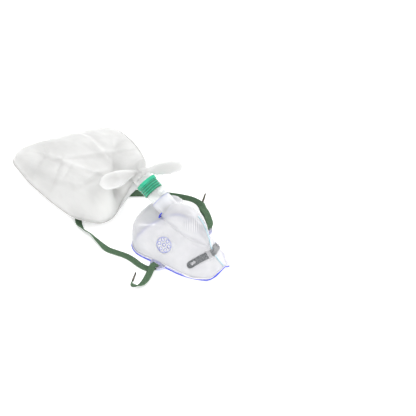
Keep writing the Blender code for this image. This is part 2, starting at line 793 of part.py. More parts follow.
def bag_rings(mouth):
    """Lens-shaped rings from the gathered neck to the closed end, with soft folds and a flat underside."""
    rows = [(*rib.near, *rib.far, rib.puff) for rib in BAG_RIBS]
    neck = adapter_sizes()["neck"] + 0.9 * MM
    side = Vector((0, 1, 0))
    rise = side.cross(PORT_AXIS).normalized()
    rings = []
    for reach in (0.0, 3.0 * MM):
        centre = mouth + PORT_AXIS * reach
        gather = neck - reach * 0.3
        rings.append([centre + gather * (math.cos(a) * side + math.sin(a) * rise) for a in ring_angles(BAG_SIDES)])
    for step in range(BAG_RINGS + 1):
        along = step / BAG_RINGS
        place = along * (len(rows) - 1)
        row = smooth_at(rows, place)
        near, far, puff = bag_point(mouth, row[0:3]), bag_point(mouth, row[3:6]), row[6] / 100 * BAG_THICKNESS
        ahead = smooth_at(rows, min(place + 0.3, len(rows) - 1))
        behind = smooth_at(rows, max(place - 0.3, 0))
        heading = bag_point(mouth, ahead[0:3] + ahead[3:6]) - bag_point(mouth, behind[0:3] + behind[3:6])
        heading.normalize()
        across_way = (far - near).normalized()
        up = across_way.cross(heading).normalized()
        middle, half = (near + far) / 2, (far - near).length / 2
        ring = []
        for a in ring_angles(BAG_SIDES):
            across, high = math.cos(a), math.sin(a)
            bulge = abs(high) ** 1.2 * math.copysign(1, high)
            fold = 1 + 0.08 * math.sin(6 * a + 5 * along) * math.sin(math.pi * along)
            point = middle + across_way * (across * half) + up * (bulge * puff * fold)
            if along > 0.15:
                point.z = max(point.z, FLOOR_CLEAR)
            ring.append(point)
        rings.append(ring)
    rings.append([bag_point(mouth, BAG_END)])
    return rings


def ear_fold(start, end, up):
    """A corner of the bag folded out at the neck: a flat pouch from the neck to its round end."""
    along = (end - start).normalized()
    wide = along.cross(up).normalized()
    out = wide.cross(along).normalized()
    length = (end - start).length
    rings = []
    for k in range(9):
        t = k / 8
        share = (0.42 + 0.58 * math.sin(math.pi * min(t * 0.62, 0.5))) * math.sqrt(max(1 - t**5, 0.0))
        centre = start + along * (length * t)
        if k == 8:
            rings.append([centre])
            continue
        ring = []
        for a in ring_angles(16):
            across = math.cos(a) * EAR_FOLD_WIDTH / 2 * share
            high = math.sin(a) * EAR_FOLD_THICKNESS / 2 * max(share, 0.3)
            ring.append(centre + wide * across + out * high)
        rings.append(ring)
    return skin(rings)


def make_bag(root, mouth, film):
    bag = add_object("reservoir_bag", skin(bag_rings(mouth)), root, film, 60)
    neck = mouth + PORT_AXIS * EAR_FOLD_START - Vector((0, 0, EAR_FOLD_SINK))
    folds = (
        ("near", Vector((-0.71, -0.61, -0.33)), Vector((0.1, -0.4, 0.9))),
        ("far", Vector((0.56, 0.83, 0.1)), Vector((-0.8, 0.0, 0.5))),
    )
    for label, way, up in folds:
        end = neck + way.normalized() * EAR_FOLD_LENGTH
        combine(bag, add_helper(f"corner_fold_{label}", ear_fold(neck, end, up), root), "UNION")
    return bag


STRAP_LIE = 0.75 * MM


@dataclass(frozen=True)
class StrapPoint:
    """A point of the elastic's middle line in millimetres, and the way that its width points."""

    x: float
    y: float
    z: float
    wide: tuple


def strap_run(side):
    """The elastic's points through one ear, from the outside of its loop to the run below it."""
    origin = ear_origin(side) / MM
    slot = origin.y + side * EAR_REACH / MM * 0.5
    edge = origin.y + side * EAR_REACH / MM
    under = STRAP_LIE / MM
    over = origin.z + EAR_THICKNESS / MM + STRAP_THICKNESS / MM
    lengthwise = (1.0, 0.0, 0.0)
    return origin.x, slot, edge, under, over, lengthwise


def strap_points():
    """The elastic from the near tip, through the near ear, round behind the bag and back to the far tip."""
    x, slot, edge, under, over, lengthwise = strap_run(-1)
    points = [
        StrapPoint(-73.2, -83.0, under + 2.2, (0.5, 0.3, 0.8)),
        StrapPoint(-71.2, -86.6, under + 3.0, (0.3, 0.2, 0.9)),
        StrapPoint(-67.0, -88.4, under + 3.8, (0.2, -0.3, 1.0)),
        StrapPoint(-62.8, -85.0, under + 3.0, (0.8, 0.0, 0.7)),
        StrapPoint(-61.6, -79.0, under + 2.5, (0.95, 0.0, 0.4)),
        StrapPoint(-63.4, -70.5, under + 2.2, (1.0, 0.0, 0.1)),
        StrapPoint(-67.0, -61.5, under + 2.6, (1.0, 0.1, 0.0)),
        StrapPoint(x + 0.3, edge - 2.6, over + 0.6, lengthwise),
        StrapPoint(x, edge + 0.6, over + 0.7, lengthwise),
        StrapPoint(x, slot - 0.2, over - 0.6, lengthwise),
        StrapPoint(x, slot + 0.2, (over + under) / 2, lengthwise),
        StrapPoint(x, slot - 0.6, under + 0.3, lengthwise),
        StrapPoint(x - 0.3, edge - 0.8, under, lengthwise),
        StrapPoint(-77.5, -53.5, under, (0.9, -0.45, 0.0)),
        StrapPoint(-85.5, -58.0, under, (0.3, -1.0, 0.0)),
        StrapPoint(-96.0, -59.4, under, (0.05, -1.0, 0.0)),
        StrapPoint(-107.0, -59.8, under, (0.05, -1.0, 0.0)),
        StrapPoint(-121.0, -61.8, under, (0.05, -1.0, 0.0)),
        StrapPoint(-135.0, -63.6, under, (0.0, -1.0, 0.0)),
        StrapPoint(-149.0, -63.0, under, (0.0, -1.0, 0.0)),
        StrapPoint(-164.0, -62.6, under, (0.0, -1.0, 0.1)),
        StrapPoint(-177.5, -61.6, under + 2.2, (-0.1, -0.8, 0.5)),
        StrapPoint(-190.0, -56.5, under, (-0.45, -0.9, 0.0)),
        StrapPoint(-200.0, -45.5, under, (-0.8, -0.5, 0.0)),
        StrapPoint(-205.0, -29.0, under, (-1.0, -0.1, 0.0)),
        StrapPoint(-202.0, -8.0, under, (-1.0, 0.15, 0.0)),
        StrapPoint(-192.0, 10.0, under, (-0.85, 0.5, 0.0)),
        StrapPoint(-181.0, 23.0, under, (-0.7, 0.7, 0.0)),
        StrapPoint(-168.0, 34.5, under, (-0.65, 0.75, 0.0)),
        StrapPoint(-148.0, 49.2, under, (-0.6, 0.8, 0.0)),
        StrapPoint(-127.5, 62.4, under, (-0.5, 0.9, 0.0)),
        StrapPoint(-116.0, 67.0, under, (-0.25, 1.0, 0.0)),
        StrapPoint(-105.5, 67.0, under, (0.25, 1.0, 0.0)),
        StrapPoint(-95.0, 62.0, under, (0.55, 0.85, 0.0)),
        StrapPoint(-84.0, 54.8, under, (0.7, 0.7, 0.0)),
    ]
    x, slot, edge, under, over, lengthwise = strap_run(1)
    points += [
        StrapPoint(x - 1.5, edge + 1.8, under, (0.95, 0.25, 0.0)),
        StrapPoint(x, slot + 0.6, under + 0.3, lengthwise),
        StrapPoint(x, slot - 0.2, (over + under) / 2, lengthwise),
        StrapPoint(x, slot + 0.2, over - 0.6, lengthwise),
        StrapPoint(x, edge - 0.6, over + 0.7, lengthwise),
        StrapPoint(x - 1.0, edge + 3.0, over + 0.6, (0.95, 0.2, 0.0)),
        StrapPoint(-82.0, 56.5, under + 3.4, (0.75, 0.65, 0.0)),
        StrapPoint(-91.5, 62.0, under + 3.2, (0.6, 0.8, 0.0)),
        StrapPoint(-99.5, 65.0, under + 3.0, (0.5, 0.85, 0.1)),
        StrapPoint(-105.6, 69.0, under + 2.6, (0.6, 0.5, 0.5)),
        StrapPoint(-107.6, 72.4, under + 2.2, (0.6, 0.3, 0.7)),
    ]
    return points


def strap_frames():
    rows = [(p.x, p.y, p.z, *p.wide) for p in strap_points()]
    spans = []
    for a, b in zip(rows, rows[1:]):
        spans.append(max(1, round(math.dist(a[:3], b[:3]) / 5.0)))
    samples = []
    for k, span in enumerate(spans):
        samples += [smooth_at(rows, k + j / span) for j in range(span)]
    samples.append(np.asarray(rows[-1], float))
    frames = []
    for k, row in enumerate(samples):
        ahead, behind = samples[min(k + 1, len(samples) - 1)], samples[max(k - 1, 0)]
        along = Vector((ahead - behind)[:3]).normalized()
        wide = Vector(row[3:]).normalized()
        out = wide.cross(along).normalized()
        frames.append((Vector(row[:3]) * MM, along, along.cross(out).normalized(), out))
    return frames


def make_strap(root, elastic, metal):
    frames = strap_frames()
    rings = []
    last = len(frames) - 1
    for k, (point, _, wide, out) in enumerate(frames):
        from_end = min(k, last - k)
        width = STRAP_WIDTH * min(1.0, (0.28, 0.62)[from_end] if from_end < 2 else 1.0)
        across, high = wide * (width / 2), out * (STRAP_THICKNESS / 2)
        rings.append([point - across - high, point + across - high, point + across + high, point - across + high])
    add_object("head_strap", skin(rings), root, elastic)
    for label, (point, along, _, _) in (("near", frames[0]), ("far", frames[-1])):
        way = -along if label == "near" else along
        level = Vector((way.x, way.y, max(way.z, 0.02))).normalized()
        place = frame_at(point + level * FIT, level)
        radius = TIP_DIAMETER / 2
        profile = (
            (radius * 0.55, TIP_LENGTH),
            (radius * 0.85, TIP_LENGTH * 0.93),
            (radius, 0.0),
            (radius * 0.6, 0.0),
            (radius * 0.6, TIP_LENGTH * 0.25),
            (radius * 0.2, TIP_LENGTH * 0.25),
            (radius * 0.2, TIP_LENGTH),
        )
        turned(f"strap_tip_{label}", profile, root, place, metal, 16)


def stand_on_origin(root):
    """Moves the root so that the bottom centre of everything's box is the origin."""
    bpy.context.view_layer.update()
    graph = bpy.context.evaluated_depsgraph_get()
    corners = []
    for obj in bpy.context.scene.objects:
        if obj.type != "MESH" or obj.hide_render:
            continue
        made = obj.evaluated_get(graph)
        corners += [made.matrix_world @ Vector(corner) for corner in made.bound_box]
    low = Vector([min(c[k] for c in corners) for k in range(3)])
    high = Vector([max(c[k] for c in corners) for k in range(3)])
    root.location = (-(low.x + high.x) / 2, -(low.y + high.y) / 2, -low.z)
    bpy.context.view_layer.update()


def main():
    clear_scene()
    root = bpy.data.objects.new("oxygen_mask", None)
    bpy.context.scene.collection.objects.link(root)
    pvc = material("clear_pvc", "#dfe0ea", 0.12, alpha=0.35)
    film = material("frosted_film", "#ecebea", 0.45, alpha=0.8)
    clear = material("clear_styrene", "#e3e6e5", 0.08, alpha=0.45)
    green = material("green_polypropylene", "#129a74", 0.25)
    aluminium = material("brushed_aluminium", "#77797b", 0.38, metallic=1.0)
    silicone = material("white_silicone", "#e9eae6", 0.5)
    elastic = material("green_elastic", "#4f6f4f", 0.85)
    tip_metal = material("crimped_tin_plate", "#5a5850", 0.35, metallic=1.0)
    make_shell(root, pvc)
    make_clip(root, aluminium)
    make_adapter(root, clear, silicone)
    mouth = make_collar(root, green, clear)
    make_bag(root, mouth, film)
    make_strap(root, elastic, tip_metal)
    stand_on_origin(root)


if __name__ == "__main__":
    main()
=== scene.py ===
"""Looks of a clear oxygen face mask with its reservoir bag, lying rim down on a pale table.

Lengths in the fields below are millimetres. Places are measured from the nose tip: X from chin to nose,
so that the mask lies at negative X, +Y to the wearer's right cheek, and +Z up from the table.
"""

import logging
import math
from dataclasses import dataclass
from enum import Enum
from typing import Any, Optional, Sequence, Union

import bmesh
import bpy
import numpy as np
from mathutils import Matrix, Vector, noise


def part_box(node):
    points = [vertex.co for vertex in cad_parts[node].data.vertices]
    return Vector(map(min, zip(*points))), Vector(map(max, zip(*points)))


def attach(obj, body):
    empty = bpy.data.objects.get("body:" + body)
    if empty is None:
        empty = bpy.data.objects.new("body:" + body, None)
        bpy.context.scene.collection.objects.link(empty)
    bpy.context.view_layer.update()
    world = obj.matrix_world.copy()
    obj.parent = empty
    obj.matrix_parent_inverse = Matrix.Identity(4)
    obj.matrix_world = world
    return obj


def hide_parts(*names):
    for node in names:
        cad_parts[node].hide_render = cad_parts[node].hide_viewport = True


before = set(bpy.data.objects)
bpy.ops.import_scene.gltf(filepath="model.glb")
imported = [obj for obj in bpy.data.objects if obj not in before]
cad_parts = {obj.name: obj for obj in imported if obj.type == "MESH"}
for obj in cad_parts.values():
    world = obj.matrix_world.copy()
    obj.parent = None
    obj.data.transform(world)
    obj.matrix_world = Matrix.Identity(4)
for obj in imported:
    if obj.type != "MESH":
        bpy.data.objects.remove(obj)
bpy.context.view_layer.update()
log = logging.getLogger("oxygen_mask")

Place = tuple[float, float, float]
Tree = bpy.types.NodeTree
Node = bpy.types.Node
Socket = bpy.types.NodeSocket
Value = Union[Socket, float, Sequence[float]]

# One millimetre in the frame's metres.
MM = 0.001
# The photograph's width in pixels.
PHOTO_WIDTH = 416
# The way from the mask to the photograph's camera.
VIEW_WAY = np.array((0.498, -0.51, 0.7))
# The port points up from the table by PORT_TILT, along PORT_AXIS. PORT_UNDER is the way out of its lower
# side, and PORT_END the middle of its end face.
PORT_TILT = math.radians(26)
PORT_AXIS = Vector((-math.cos(PORT_TILT), 0.0, math.sin(PORT_TILT)))
PORT_UNDER = Vector((-math.sin(PORT_TILT), 0.0, -math.cos(PORT_TILT)))
PORT_END = (-106.9, 0.0, 59.3)
# Points of a CAD node nearer than MERGE_GAP become one, and edges shorter than SLIVER go.
MERGE_GAP = 0.002
SLIVER = 0.001
# How far apart the rings of a swept bead are.
BEAD_SPACING = 2.0


class Slot(Enum):
    """The record's material slots."""

    PVC = "clear_pvc"
    STRIP = "aluminium_strip"
    STYRENE = "clear_styrene"
    SILICONE = "silicone"
    GREEN = "green_polypropylene"
    FILM = "frosted_film"
    ELASTIC = "green_elastic"
    TIN = "tin_plate"


class Side(Enum):
    """The photograph's near and far side of the mask, as the sign of Y."""

    NEAR = -1
    FAR = 1


@dataclass(frozen=True)
class Table:
    """Where the mask lies on the table: the nose tip at table height, in the frame's metres."""

    nose_tip: Vector

    @classmethod
    def under_face_piece(cls, bead_reach: float = 1.2, bead_sink: float = 0.227) -> "Table":
        """Reads the nose tip from the face piece's box.

        Args:
            bead_reach: How far the rim's bead reaches past the nose tip, in millimetres.
            bead_sink: How far it reaches below the rim's line, in millimetres.

        Returns:
            The table with its nose tip.
        """
        low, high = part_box("mask_shell")
        return cls(Vector((high[0] - bead_reach * MM, (low[1] + high[1]) / 2, low[2] + bead_sink * MM)))

    def at(self, place: Sequence[float]) -> Vector:
        """A place in millimetres from the nose tip, in the frame's metres."""
        return self.nose_tip + Vector(place) * MM


TABLE = Table.under_face_piece()


def linear(colour: str) -> tuple[float, float, float, float]:
    """Turns an sRGB hex colour into linear RGBA.

    Args:
        colour: Seven characters, such as "#1fb38d".

    Returns:
        Linear red, green, blue and an alpha of 1.
    """
    toe, slope, offset, power = 0.04045, 12.92, 0.055, 2.4
    parts = [int(colour[i : i + 2], 16) / 255 for i in (1, 3, 5)]
    red, green, blue = (p / slope if p <= toe else ((p + offset) / (1 + offset)) ** power for p in parts)
    return red, green, blue, 1.0


def feed(tree: Tree, node: Node, inputs: dict) -> None:
    """Sets a node's inputs.

    Args:
        tree: The node's tree.
        node: The node.
        inputs: Socket name or number to a value, or to the socket that feeds it.
    """
    for key, value in inputs.items():
        if isinstance(value, Socket):
            tree.links.new(value, node.inputs[key])
        else:
            node.inputs[key].default_value = value


def add_node(tree: Tree, kind: str, inputs: Optional[dict] = None, **settings: Any) -> Node:
    """Adds a node with its settings, values and links.

    Args:
        tree: The shader or geometry tree.
        kind: The node's type name.
        inputs: Socket name or number to a value, or to the socket that feeds it.
        settings: The node's own properties.

    Returns:
        The new node.
    """
    made = tree.nodes.new(kind)
    for name, value in settings.items():
        setattr(made, name, value)
    feed(tree, made, inputs or {})
    return made


def reckoned(tree: Tree, operation: str, *values: Value) -> Socket:
    """What a Math node makes of its values."""
    return add_node(tree, "ShaderNodeMath", dict(enumerate(values)), operation=operation).outputs[0]


def moved(tree: Tree, operation: str, *values: Value) -> Socket:
    """The vector that a Vector Math node makes of its values."""
    made = add_node(tree, "ShaderNodeVectorMath", dict(enumerate(values)), operation=operation)
    return made.outputs["Vector"]


def measured(tree: Tree, operation: str, *values: Value) -> Socket:
    """The number that a Vector Math node makes of its values, such as a length."""
    made = add_node(tree, "ShaderNodeVectorMath", dict(enumerate(values)), operation=operation)
    return made.outputs["Value"]


def ranged(
    tree: Tree, value: Socket, low: float, high: float, to_low: float = 0.0, to_high: float = 1.0
) -> Socket:
    """Maps a value onto a range and holds it at both ends.

    Args:
        tree: The tree.
        value: The value's socket.
        low: The value at the first end.
        high: The value at the other end.
        to_low: The result at the first end.
        to_high: The result at the other end.

    Returns:
        The result's socket.
    """
    return add_node(tree, "ShaderNodeMapRange", {0: value, 1: low, 2: high, 3: to_low, 4: to_high}).outputs[0]


def noisy(
    tree: Tree, coords: Socket, size: float, detail: float, rough: float = 0.5, **settings: Any
) -> Socket:
    """Smooth noise.

    Args:
        tree: The material's tree.
        coords: The socket that gives the place.
        size: The size of its waves in millimetres.
        detail: How many finer waves are added.
        rough: How strong each finer wave is beside the one before.
        settings: The node's own properties.

    Returns:
        The noise's socket, about 0 to 1.
    """
    inputs = {"Vector": coords, "Scale": 1 / (size * MM), "Detail": detail, "Roughness": rough}
    return add_node(tree, "ShaderNodeTexNoise", inputs, **settings).outputs["Fac"]


def stretched(tree: Tree, coords: Socket, scale: Place, turn: float = 0.0) -> Socket:
    """A pattern's coordinates, scaled, and turned about the upright by so many degrees."""
    inputs = {"Vector": coords, "Rotation": (0, 0, math.radians(turn)), "Scale": scale}
    return add_node(tree, "ShaderNodeMapping", inputs).outputs[0]


def mixed(tree: Tree, share: Socket, first: Value, second: Value) -> Socket:
    """A colour that goes from the first to the second as the share goes from 0 to 1."""
    return add_node(tree, "ShaderNodeMix", {0: share, 6: first, 7: second}, data_type="RGBA").outputs[2]


def waves(tree: Tree, along: Socket, pitch: float) -> Socket:
    """Even waves from -1 to 1 along a length, with their pitch in millimetres."""
    return reckoned(tree, "SINE", reckoned(tree, "MULTIPLY", along, 2 * math.pi / (pitch * MM)))


def object_place(tree: Tree) -> Socket:
    """The place on the piece, in its own coordinates."""
    return add_node(tree, "ShaderNodeTexCoord").outputs["Object"]


def from_port_axis(tree: Tree, coords: Socket) -> tuple[Socket, Socket]:
    """Measures from the middle of the port's end face.

    Args:
        tree: The material's tree.
        coords: The socket that gives the place.

    Returns:
        The vector from the end face's middle, and the distance from the port's axis.
    """
    away = moved(tree, "SUBTRACT", coords, TABLE.at(PORT_END))
    return away, measured(tree, "LENGTH", moved(tree, "CROSS_PRODUCT", away, PORT_AXIS))


@dataclass(frozen=True)
class Finish:
    """A surface finish: a Principled shader whose fields say what the real material is like."""

    name: str
    roughness: float = 0.4
    metallic: float = 0.0
    ior: float = 1.5
    cloud_size: float = 2.0
    cloud_detail: float = 3.0
    cloud_start: float = 0.35
    cloud_end: float = 0.65
    bump_size: float = 0.8
    bump_height: float = 0.02
    bump_detail: float = 2.0

    def build(self) -> bpy.types.Material:
        """Makes the material once.

        Returns:
            The new material, or the one that is already made.
        """
        if self.name in bpy.data.materials:
            return bpy.data.materials[self.name]
        made = bpy.data.materials.new(self.name)
        made.use_nodes = True
        shader = made.node_tree.nodes["Principled BSDF"]
        inputs = {"Roughness": self.roughness, "Metallic": self.metallic, "IOR": self.ior}
        feed(made.node_tree, shader, inputs)
        self.paint(made.node_tree, shader)
        return made

    def paint(self, tree: Tree, shader: Node) -> None:
        """Adds this finish's own colour and relief.

        Args:
            tree: The material's tree.
            shader: Its Principled node.
        """
        raise NotImplementedError

    def clouded(self, tree: Tree, coords: Socket, first: str, second: str) -> Socket:
        """A soft mix of two colours, in clouds of this finish's size.

        Args:
            tree: The material's tree.
            coords: The socket that gives the place.
            first: One sRGB colour.
            second: The other sRGB colour.

        Returns:
            The colour's socket.
        """
        cloud = noisy(tree, coords, self.cloud_size, self.cloud_detail)
        ramp = add_node(tree, "ShaderNodeValToRGB", {"Fac": cloud})
        stops = ((self.cloud_start, first), (self.cloud_end, second))
        for element, (position, colour) in zip(ramp.color_ramp.elements, stops):
            element.position = position
            element.color = linear(colour)
        return ramp.outputs["Color"]

    def relief(self, tree: Tree, shader: Node, coords: Socket) -> None:
        """Adds a noisy bump of this finish's size and height.

        Args:
            tree: The material's tree.
            shader: Its Principled node.
            coords: The socket that gives the place.
        """
        self.bump(tree, shader, noisy(tree, coords, self.bump_size, self.bump_detail), self.bump_height)

    def bump(self, tree: Tree, shader: Node, height: Socket, full: float) -> None:
        """Tilts the light by a height.

        Args:
            tree: The material's tree.
            shader: Its Principled node.
            height: The height's socket, from 0 to 1.
            full: The height in millimetres at 1.
        """
        made = add_node(tree, "ShaderNodeBump", {"Height": height, "Distance": full * MM})
        feed(tree, shader, {"Normal": made.outputs["Normal"]})


@dataclass(frozen=True)
class ClearWall:
    """A thin clear wall: it hides little where it faces the eye and more where it turns away."""

    facing: float
    grazing: float
    blend: float
    start: float
    end: float

    def alpha(self, tree: Tree) -> Socket:
        """How much of what lies behind the wall it hides."""
        turn = add_node(tree, "ShaderNodeLayerWeight", {"Blend": self.blend}).outputs["Facing"]
        return ranged(tree, turn, self.start, self.end, self.facing, self.grazing)


@dataclass(frozen=True)
class ClearPvc(Finish):
    """Plasticised PVC, injection moulded.

    It is glassy and faintly lilac, and blue where the eye looks along the wall into an edge. A painted
    highlight lies just above the rim and along the flutes at the front of the dome, and the port's wall is
    painted lighter, as painted light against the shade inside it.
    """

    cloud_size: float = 24.0
    bump_size: float = 9.0
    bump_height: float = 0.12
    body: str = "#cacace"
    cloud: str = "#d9d9db"
    edge: str = "#3040cc"
    # The painted highlight's colour, in the band above the rim and on the flutes.
    glint: str = "#efeee9"
    # The lighter colour painted on the port's wall, painted light against the shade inside it.
    port_painted_light: str = "#f3f4fa"
    wall: ClearWall = ClearWall(facing=0.40, grazing=0.85, blend=0.35, start=0.15, end=1.0)
    edge_alpha: float = 0.95
    # The blue band on the rim, the painted highlight band above it, how softly both end, and the rim's height
    # at each X.
    rim_band: float = 2.0
    glint_band: float = 1.0
    rim_fade: float = 0.6
    rim_rise: tuple[tuple[float, float], ...] = (
        (-40.0, 0.0), (-15.0, 0.0), (-8.0, 3.0), (-3.0, 10.0), (1.2, 19.5),
    )
    # The port's end face: how deep and how far out its tint goes, where the port's painted light fades, the
    # tint.
    port_edge: float = 1.1
    port_reach: float = 13.4
    port_fade: float = 1.4
    port_tint: float = 0.45
    # The lip at the port's root: how far it is from the end face, its width, its radii and its top.
    lip_depth: float = 14.6
    lip_width: float = 1.2
    lip_reach: float = 12.9
    lip_spread: float = 1.3
    lip_top: float = 3.0
    # The flutes' painted highlight: their middle, the way across them, their pitch, how far they reach and
    # how they shine.
    flute_place: Place = (-45.0, -8.0, 64.0)
    flute_way: Place = (0.72, 0.69, 0.0)
    flute_pitch: float = 2.6
    flute_reach: float = 11.0
    flute_core: float = 0.3
    flute_trough: float = -0.5
    flute_shine: float = 0.34

    def rim_mask(self, tree: Tree, coords: Socket) -> list[Socket]:
        """Follows the rim, whose height rises as it climbs to the nose.

        Args:
            tree: The material's tree.
            coords: The socket that gives the place.

        Returns:
            Two sockets: 1 on the beaded rim, and 1 up to the top of the painted highlight band above it.
        """
        origin = TABLE.nose_tip
        parts = add_node(tree, "ShaderNodeSeparateXYZ", {0: coords})
        first, last = self.rim_rise[0][0], self.rim_rise[-1][0]
        top = self.rim_rise[-1][1]
        along = ranged(tree, parts.outputs["X"], origin.x + first * MM, origin.x + last * MM)
        curve = add_node(tree, "ShaderNodeFloatCurve", {"Value": along})
        line = curve.mapping.curves[0]
        for x, z in self.rim_rise[1:-1]:
            line.points.new((x - first) / (last - first), z / top)
        line.points[0].location = (0.0, 0.0)
        line.points[-1].location = (1.0, 1.0)
        curve.mapping.update()
        rise = reckoned(tree, "MULTIPLY", curve.outputs[0], top * MM)
        height = reckoned(tree, "SUBTRACT", parts.outputs["Z"], rise)
        lows = [origin.z + band * MM for band in (self.rim_band, self.rim_band + self.glint_band)]
        return [ranged(tree, height, low, low + self.rim_fade * MM, 1.0, 0.0) for low in lows]

    def port_mask(self, tree: Tree, coords: Socket) -> Socket:
        """Finds the port's own edges.

        Args:
            tree: The material's tree.
            coords: The socket that gives the place.

        Returns:
            A socket: the tint on the port's end face, and 1 on the lip at its root apart from its top.
        """
        away, radius = from_port_axis(tree, coords)
        reach = measured(tree, "DOT_PRODUCT", away, PORT_AXIS)
        at_end = ranged(tree, reach, -self.port_edge * MM, -self.port_edge * 0.5 * MM)
        on_end = reckoned(tree, "LESS_THAN", measured(tree, "LENGTH", away), self.port_reach * MM)
        end = reckoned(tree, "MULTIPLY", at_end, reckoned(tree, "MULTIPLY", on_end, self.port_tint))
        under = measured(tree, "DOT_PRODUCT", away, PORT_UNDER)
        lip = reckoned(tree, "COMPARE", reach, -self.lip_depth * MM, self.lip_width * MM)
        for limit in (
            reckoned(tree, "GREATER_THAN", radius, self.lip_reach * MM),
            reckoned(tree, "LESS_THAN", radius, self.lip_spread * self.lip_reach * MM),
            reckoned(tree, "GREATER_THAN", under, -self.lip_top * MM),
        ):
            lip = reckoned(tree, "MULTIPLY", lip, limit)
        return reckoned(tree, "MAXIMUM", end, lip)

    def flutes(self, tree: Tree, coords: Socket) -> Socket:
        """A painted highlight in streaks along the fine flutes on the front of the dome.

        Args:
            tree: The material's tree.
            coords: The socket that gives the place.

        Returns:
            A socket: the painted shine along each flute, fading out round their middle.
        """
        span = measured(tree, "DISTANCE", coords, TABLE.at(self.flute_place))
        core, reach = self.flute_core * self.flute_reach * MM, self.flute_reach * MM
        here = ranged(tree, span, core, reach, self.flute_shine, 0.0)
        across = measured(tree, "DOT_PRODUCT", coords, self.flute_way)
        crests = ranged(tree, waves(tree, across, self.flute_pitch), self.flute_trough, 1.0)
        return reckoned(tree, "MULTIPLY", crests, here)

    def on_port(self, tree: Tree, coords: Socket) -> Socket:
        """1 on the port's thin straight wall, which is painted lighter against the shade inside it, fading
        out into the dome at its root.
        """
        span = measured(tree, "DISTANCE", coords, TABLE.at(PORT_END))
        return ranged(tree, span, self.port_reach * MM, self.port_fade * self.port_reach * MM, 1.0, 0.0)

    def paint(self, tree: Tree, shader: Node) -> None:
        """Lilac clouds, blue edges, painted highlights, a port painted lighter, and a wall that hides more
        where it turns away.

        Args:
            tree: The material's tree.
            shader: Its Principled node.
        """
        coords = object_place(tree)
        flow = self.clouded(tree, coords, self.body, self.cloud)
        # Painted light: the port's wall is mixed towards a lighter colour.
        body = mixed(tree, self.on_port(tree, coords), flow, linear(self.port_painted_light))
        rim, above = self.rim_mask(tree, coords)
        edges = reckoned(tree, "MAXIMUM", rim, self.port_mask(tree, coords))
        # Painted highlights: the band just above the rim and the streaks on the flutes, mixed into the
        # colour.
        pale = reckoned(tree, "MAXIMUM", above, self.flutes(tree, coords))
        lit = mixed(tree, pale, body, linear(self.glint))
        hidden = {0: reckoned(tree, "MAXIMUM", edges, pale), 2: self.wall.alpha(tree), 3: self.edge_alpha}
        alpha = add_node(tree, "ShaderNodeMix", hidden, data_type="FLOAT").outputs[0]
        feed(tree, shader, {"Base Color": mixed(tree, edges, lit, linear(self.edge)), "Alpha": alpha})
        self.relief(tree, shader, coords)


@dataclass(frozen=True)
class EdgePvc(Finish):
    """The same PVC seen through a thin lip or ridge, where its tint adds up to a colour of its own."""

    cloud_size: float = 3.0
    deep: str = "#4a5ad0"
    pale: str = "#8d97df"
    alpha: float = 0.8

    def paint(self, tree: Tree, shader: Node) -> None:
        """A colour that comes and goes along the edge.

        Args:
            tree: The material's tree.
            shader: Its Principled node.
        """
        colour = self.clouded(tree, object_place(tree), self.deep, self.pale)
        feed(tree, shader, {"Base Color": colour, "Alpha": self.alpha})


@dataclass(frozen=True)
class PaintedShadingPatch:
    """A patch of painted shade or painted light on the film, fading out from its middle."""

    colour: str
    place: Place
    near: float
    far: float
    share: float

    def over(self, tree: Tree, coords: Socket, colour: Socket) -> Socket:
        """Lays the patch over a colour.

        Args:
            tree: The material's tree.
            coords: The socket that gives the place.
            colour: The colour's socket.

        Returns:
            The new colour's socket.
        """
        span = measured(tree, "DISTANCE", coords, TABLE.at(self.place))
        here = ranged(tree, span, self.near * MM, self.far * MM, self.share, 0.0)
        return mixed(tree, here, colour, linear(self.colour))


@dataclass(frozen=True)
class FrostedFilm(Finish):
    """Blown film with a frosted face: milky, with soft highlights and fine crumple lines.

    Painted shade makes it darker over the far fold and round the neck and in the hollow of the near fold,
    and painted light makes it lighter on the side of the neck.
    """

    cloud_size: float = 40.0
    cloud_detail: float = 4.0
    shade: str = "#c0c0bf"
    light: str = "#cdcdcc"
    alpha: float = 0.97
    haze: float = 0.85
    haze_depth: float = 22.0
    # Painted shade over the far fold and round the neck, painted shade in the near fold's hollow, painted
    # light on the side of the neck.
    tones: tuple[PaintedShadingPatch, ...] = (
        PaintedShadingPatch("#adadac", (-127.3, 25.4, 79.7), 28.0, 52.0, 1.0),
        PaintedShadingPatch("#a6a6a5", (-169.3, -20.5, 62.2), 4.0, 12.0, 0.5),
        PaintedShadingPatch("#e4e4e2", (-156.0, -24.0, 34.0), 12.0, 34.0, 0.9),
    )
    # The crumple lines: their size and height, their fineness, and how they are turned and drawn out.
    fold_size: float = 85.0
    fold_height: float = 1.0
    fold_detail: float = 2.5
    fold_roughness: float = 0.4
    fold_turn: float = 28.0
    fold_stretch: float = 2.6

    def paint(self, tree: Tree, shader: Node) -> None:
        """Milky clouds and stretched crumple lines, with the patches of painted shade and painted light laid
        over them.

        Args:
            tree: The material's tree.
            shader: Its Principled node.
        """
        coords = object_place(tree)
        laid = stretched(tree, coords, (1, self.fold_stretch, 1), self.fold_turn)
        colour = self.clouded(tree, laid, self.shade, self.light)
        for tone in self.tones:
            colour = tone.over(tree, coords, colour)
        feed(tree, shader, {"Base Color": colour, "Alpha": self.alpha, "Subsurface Weight": self.haze})
        feed(tree, shader, {"Subsurface Radius": (1.0, 1.0, 1.0), "Subsurface Scale": self.haze_depth * MM})
        kind = "RIDGED_MULTIFRACTAL"
        ridges = noisy(tree, laid, self.fold_size, self.fold_detail, self.fold_roughness, noise_type=kind)
        self.bump(tree, shader, ridges, self.fold_height)


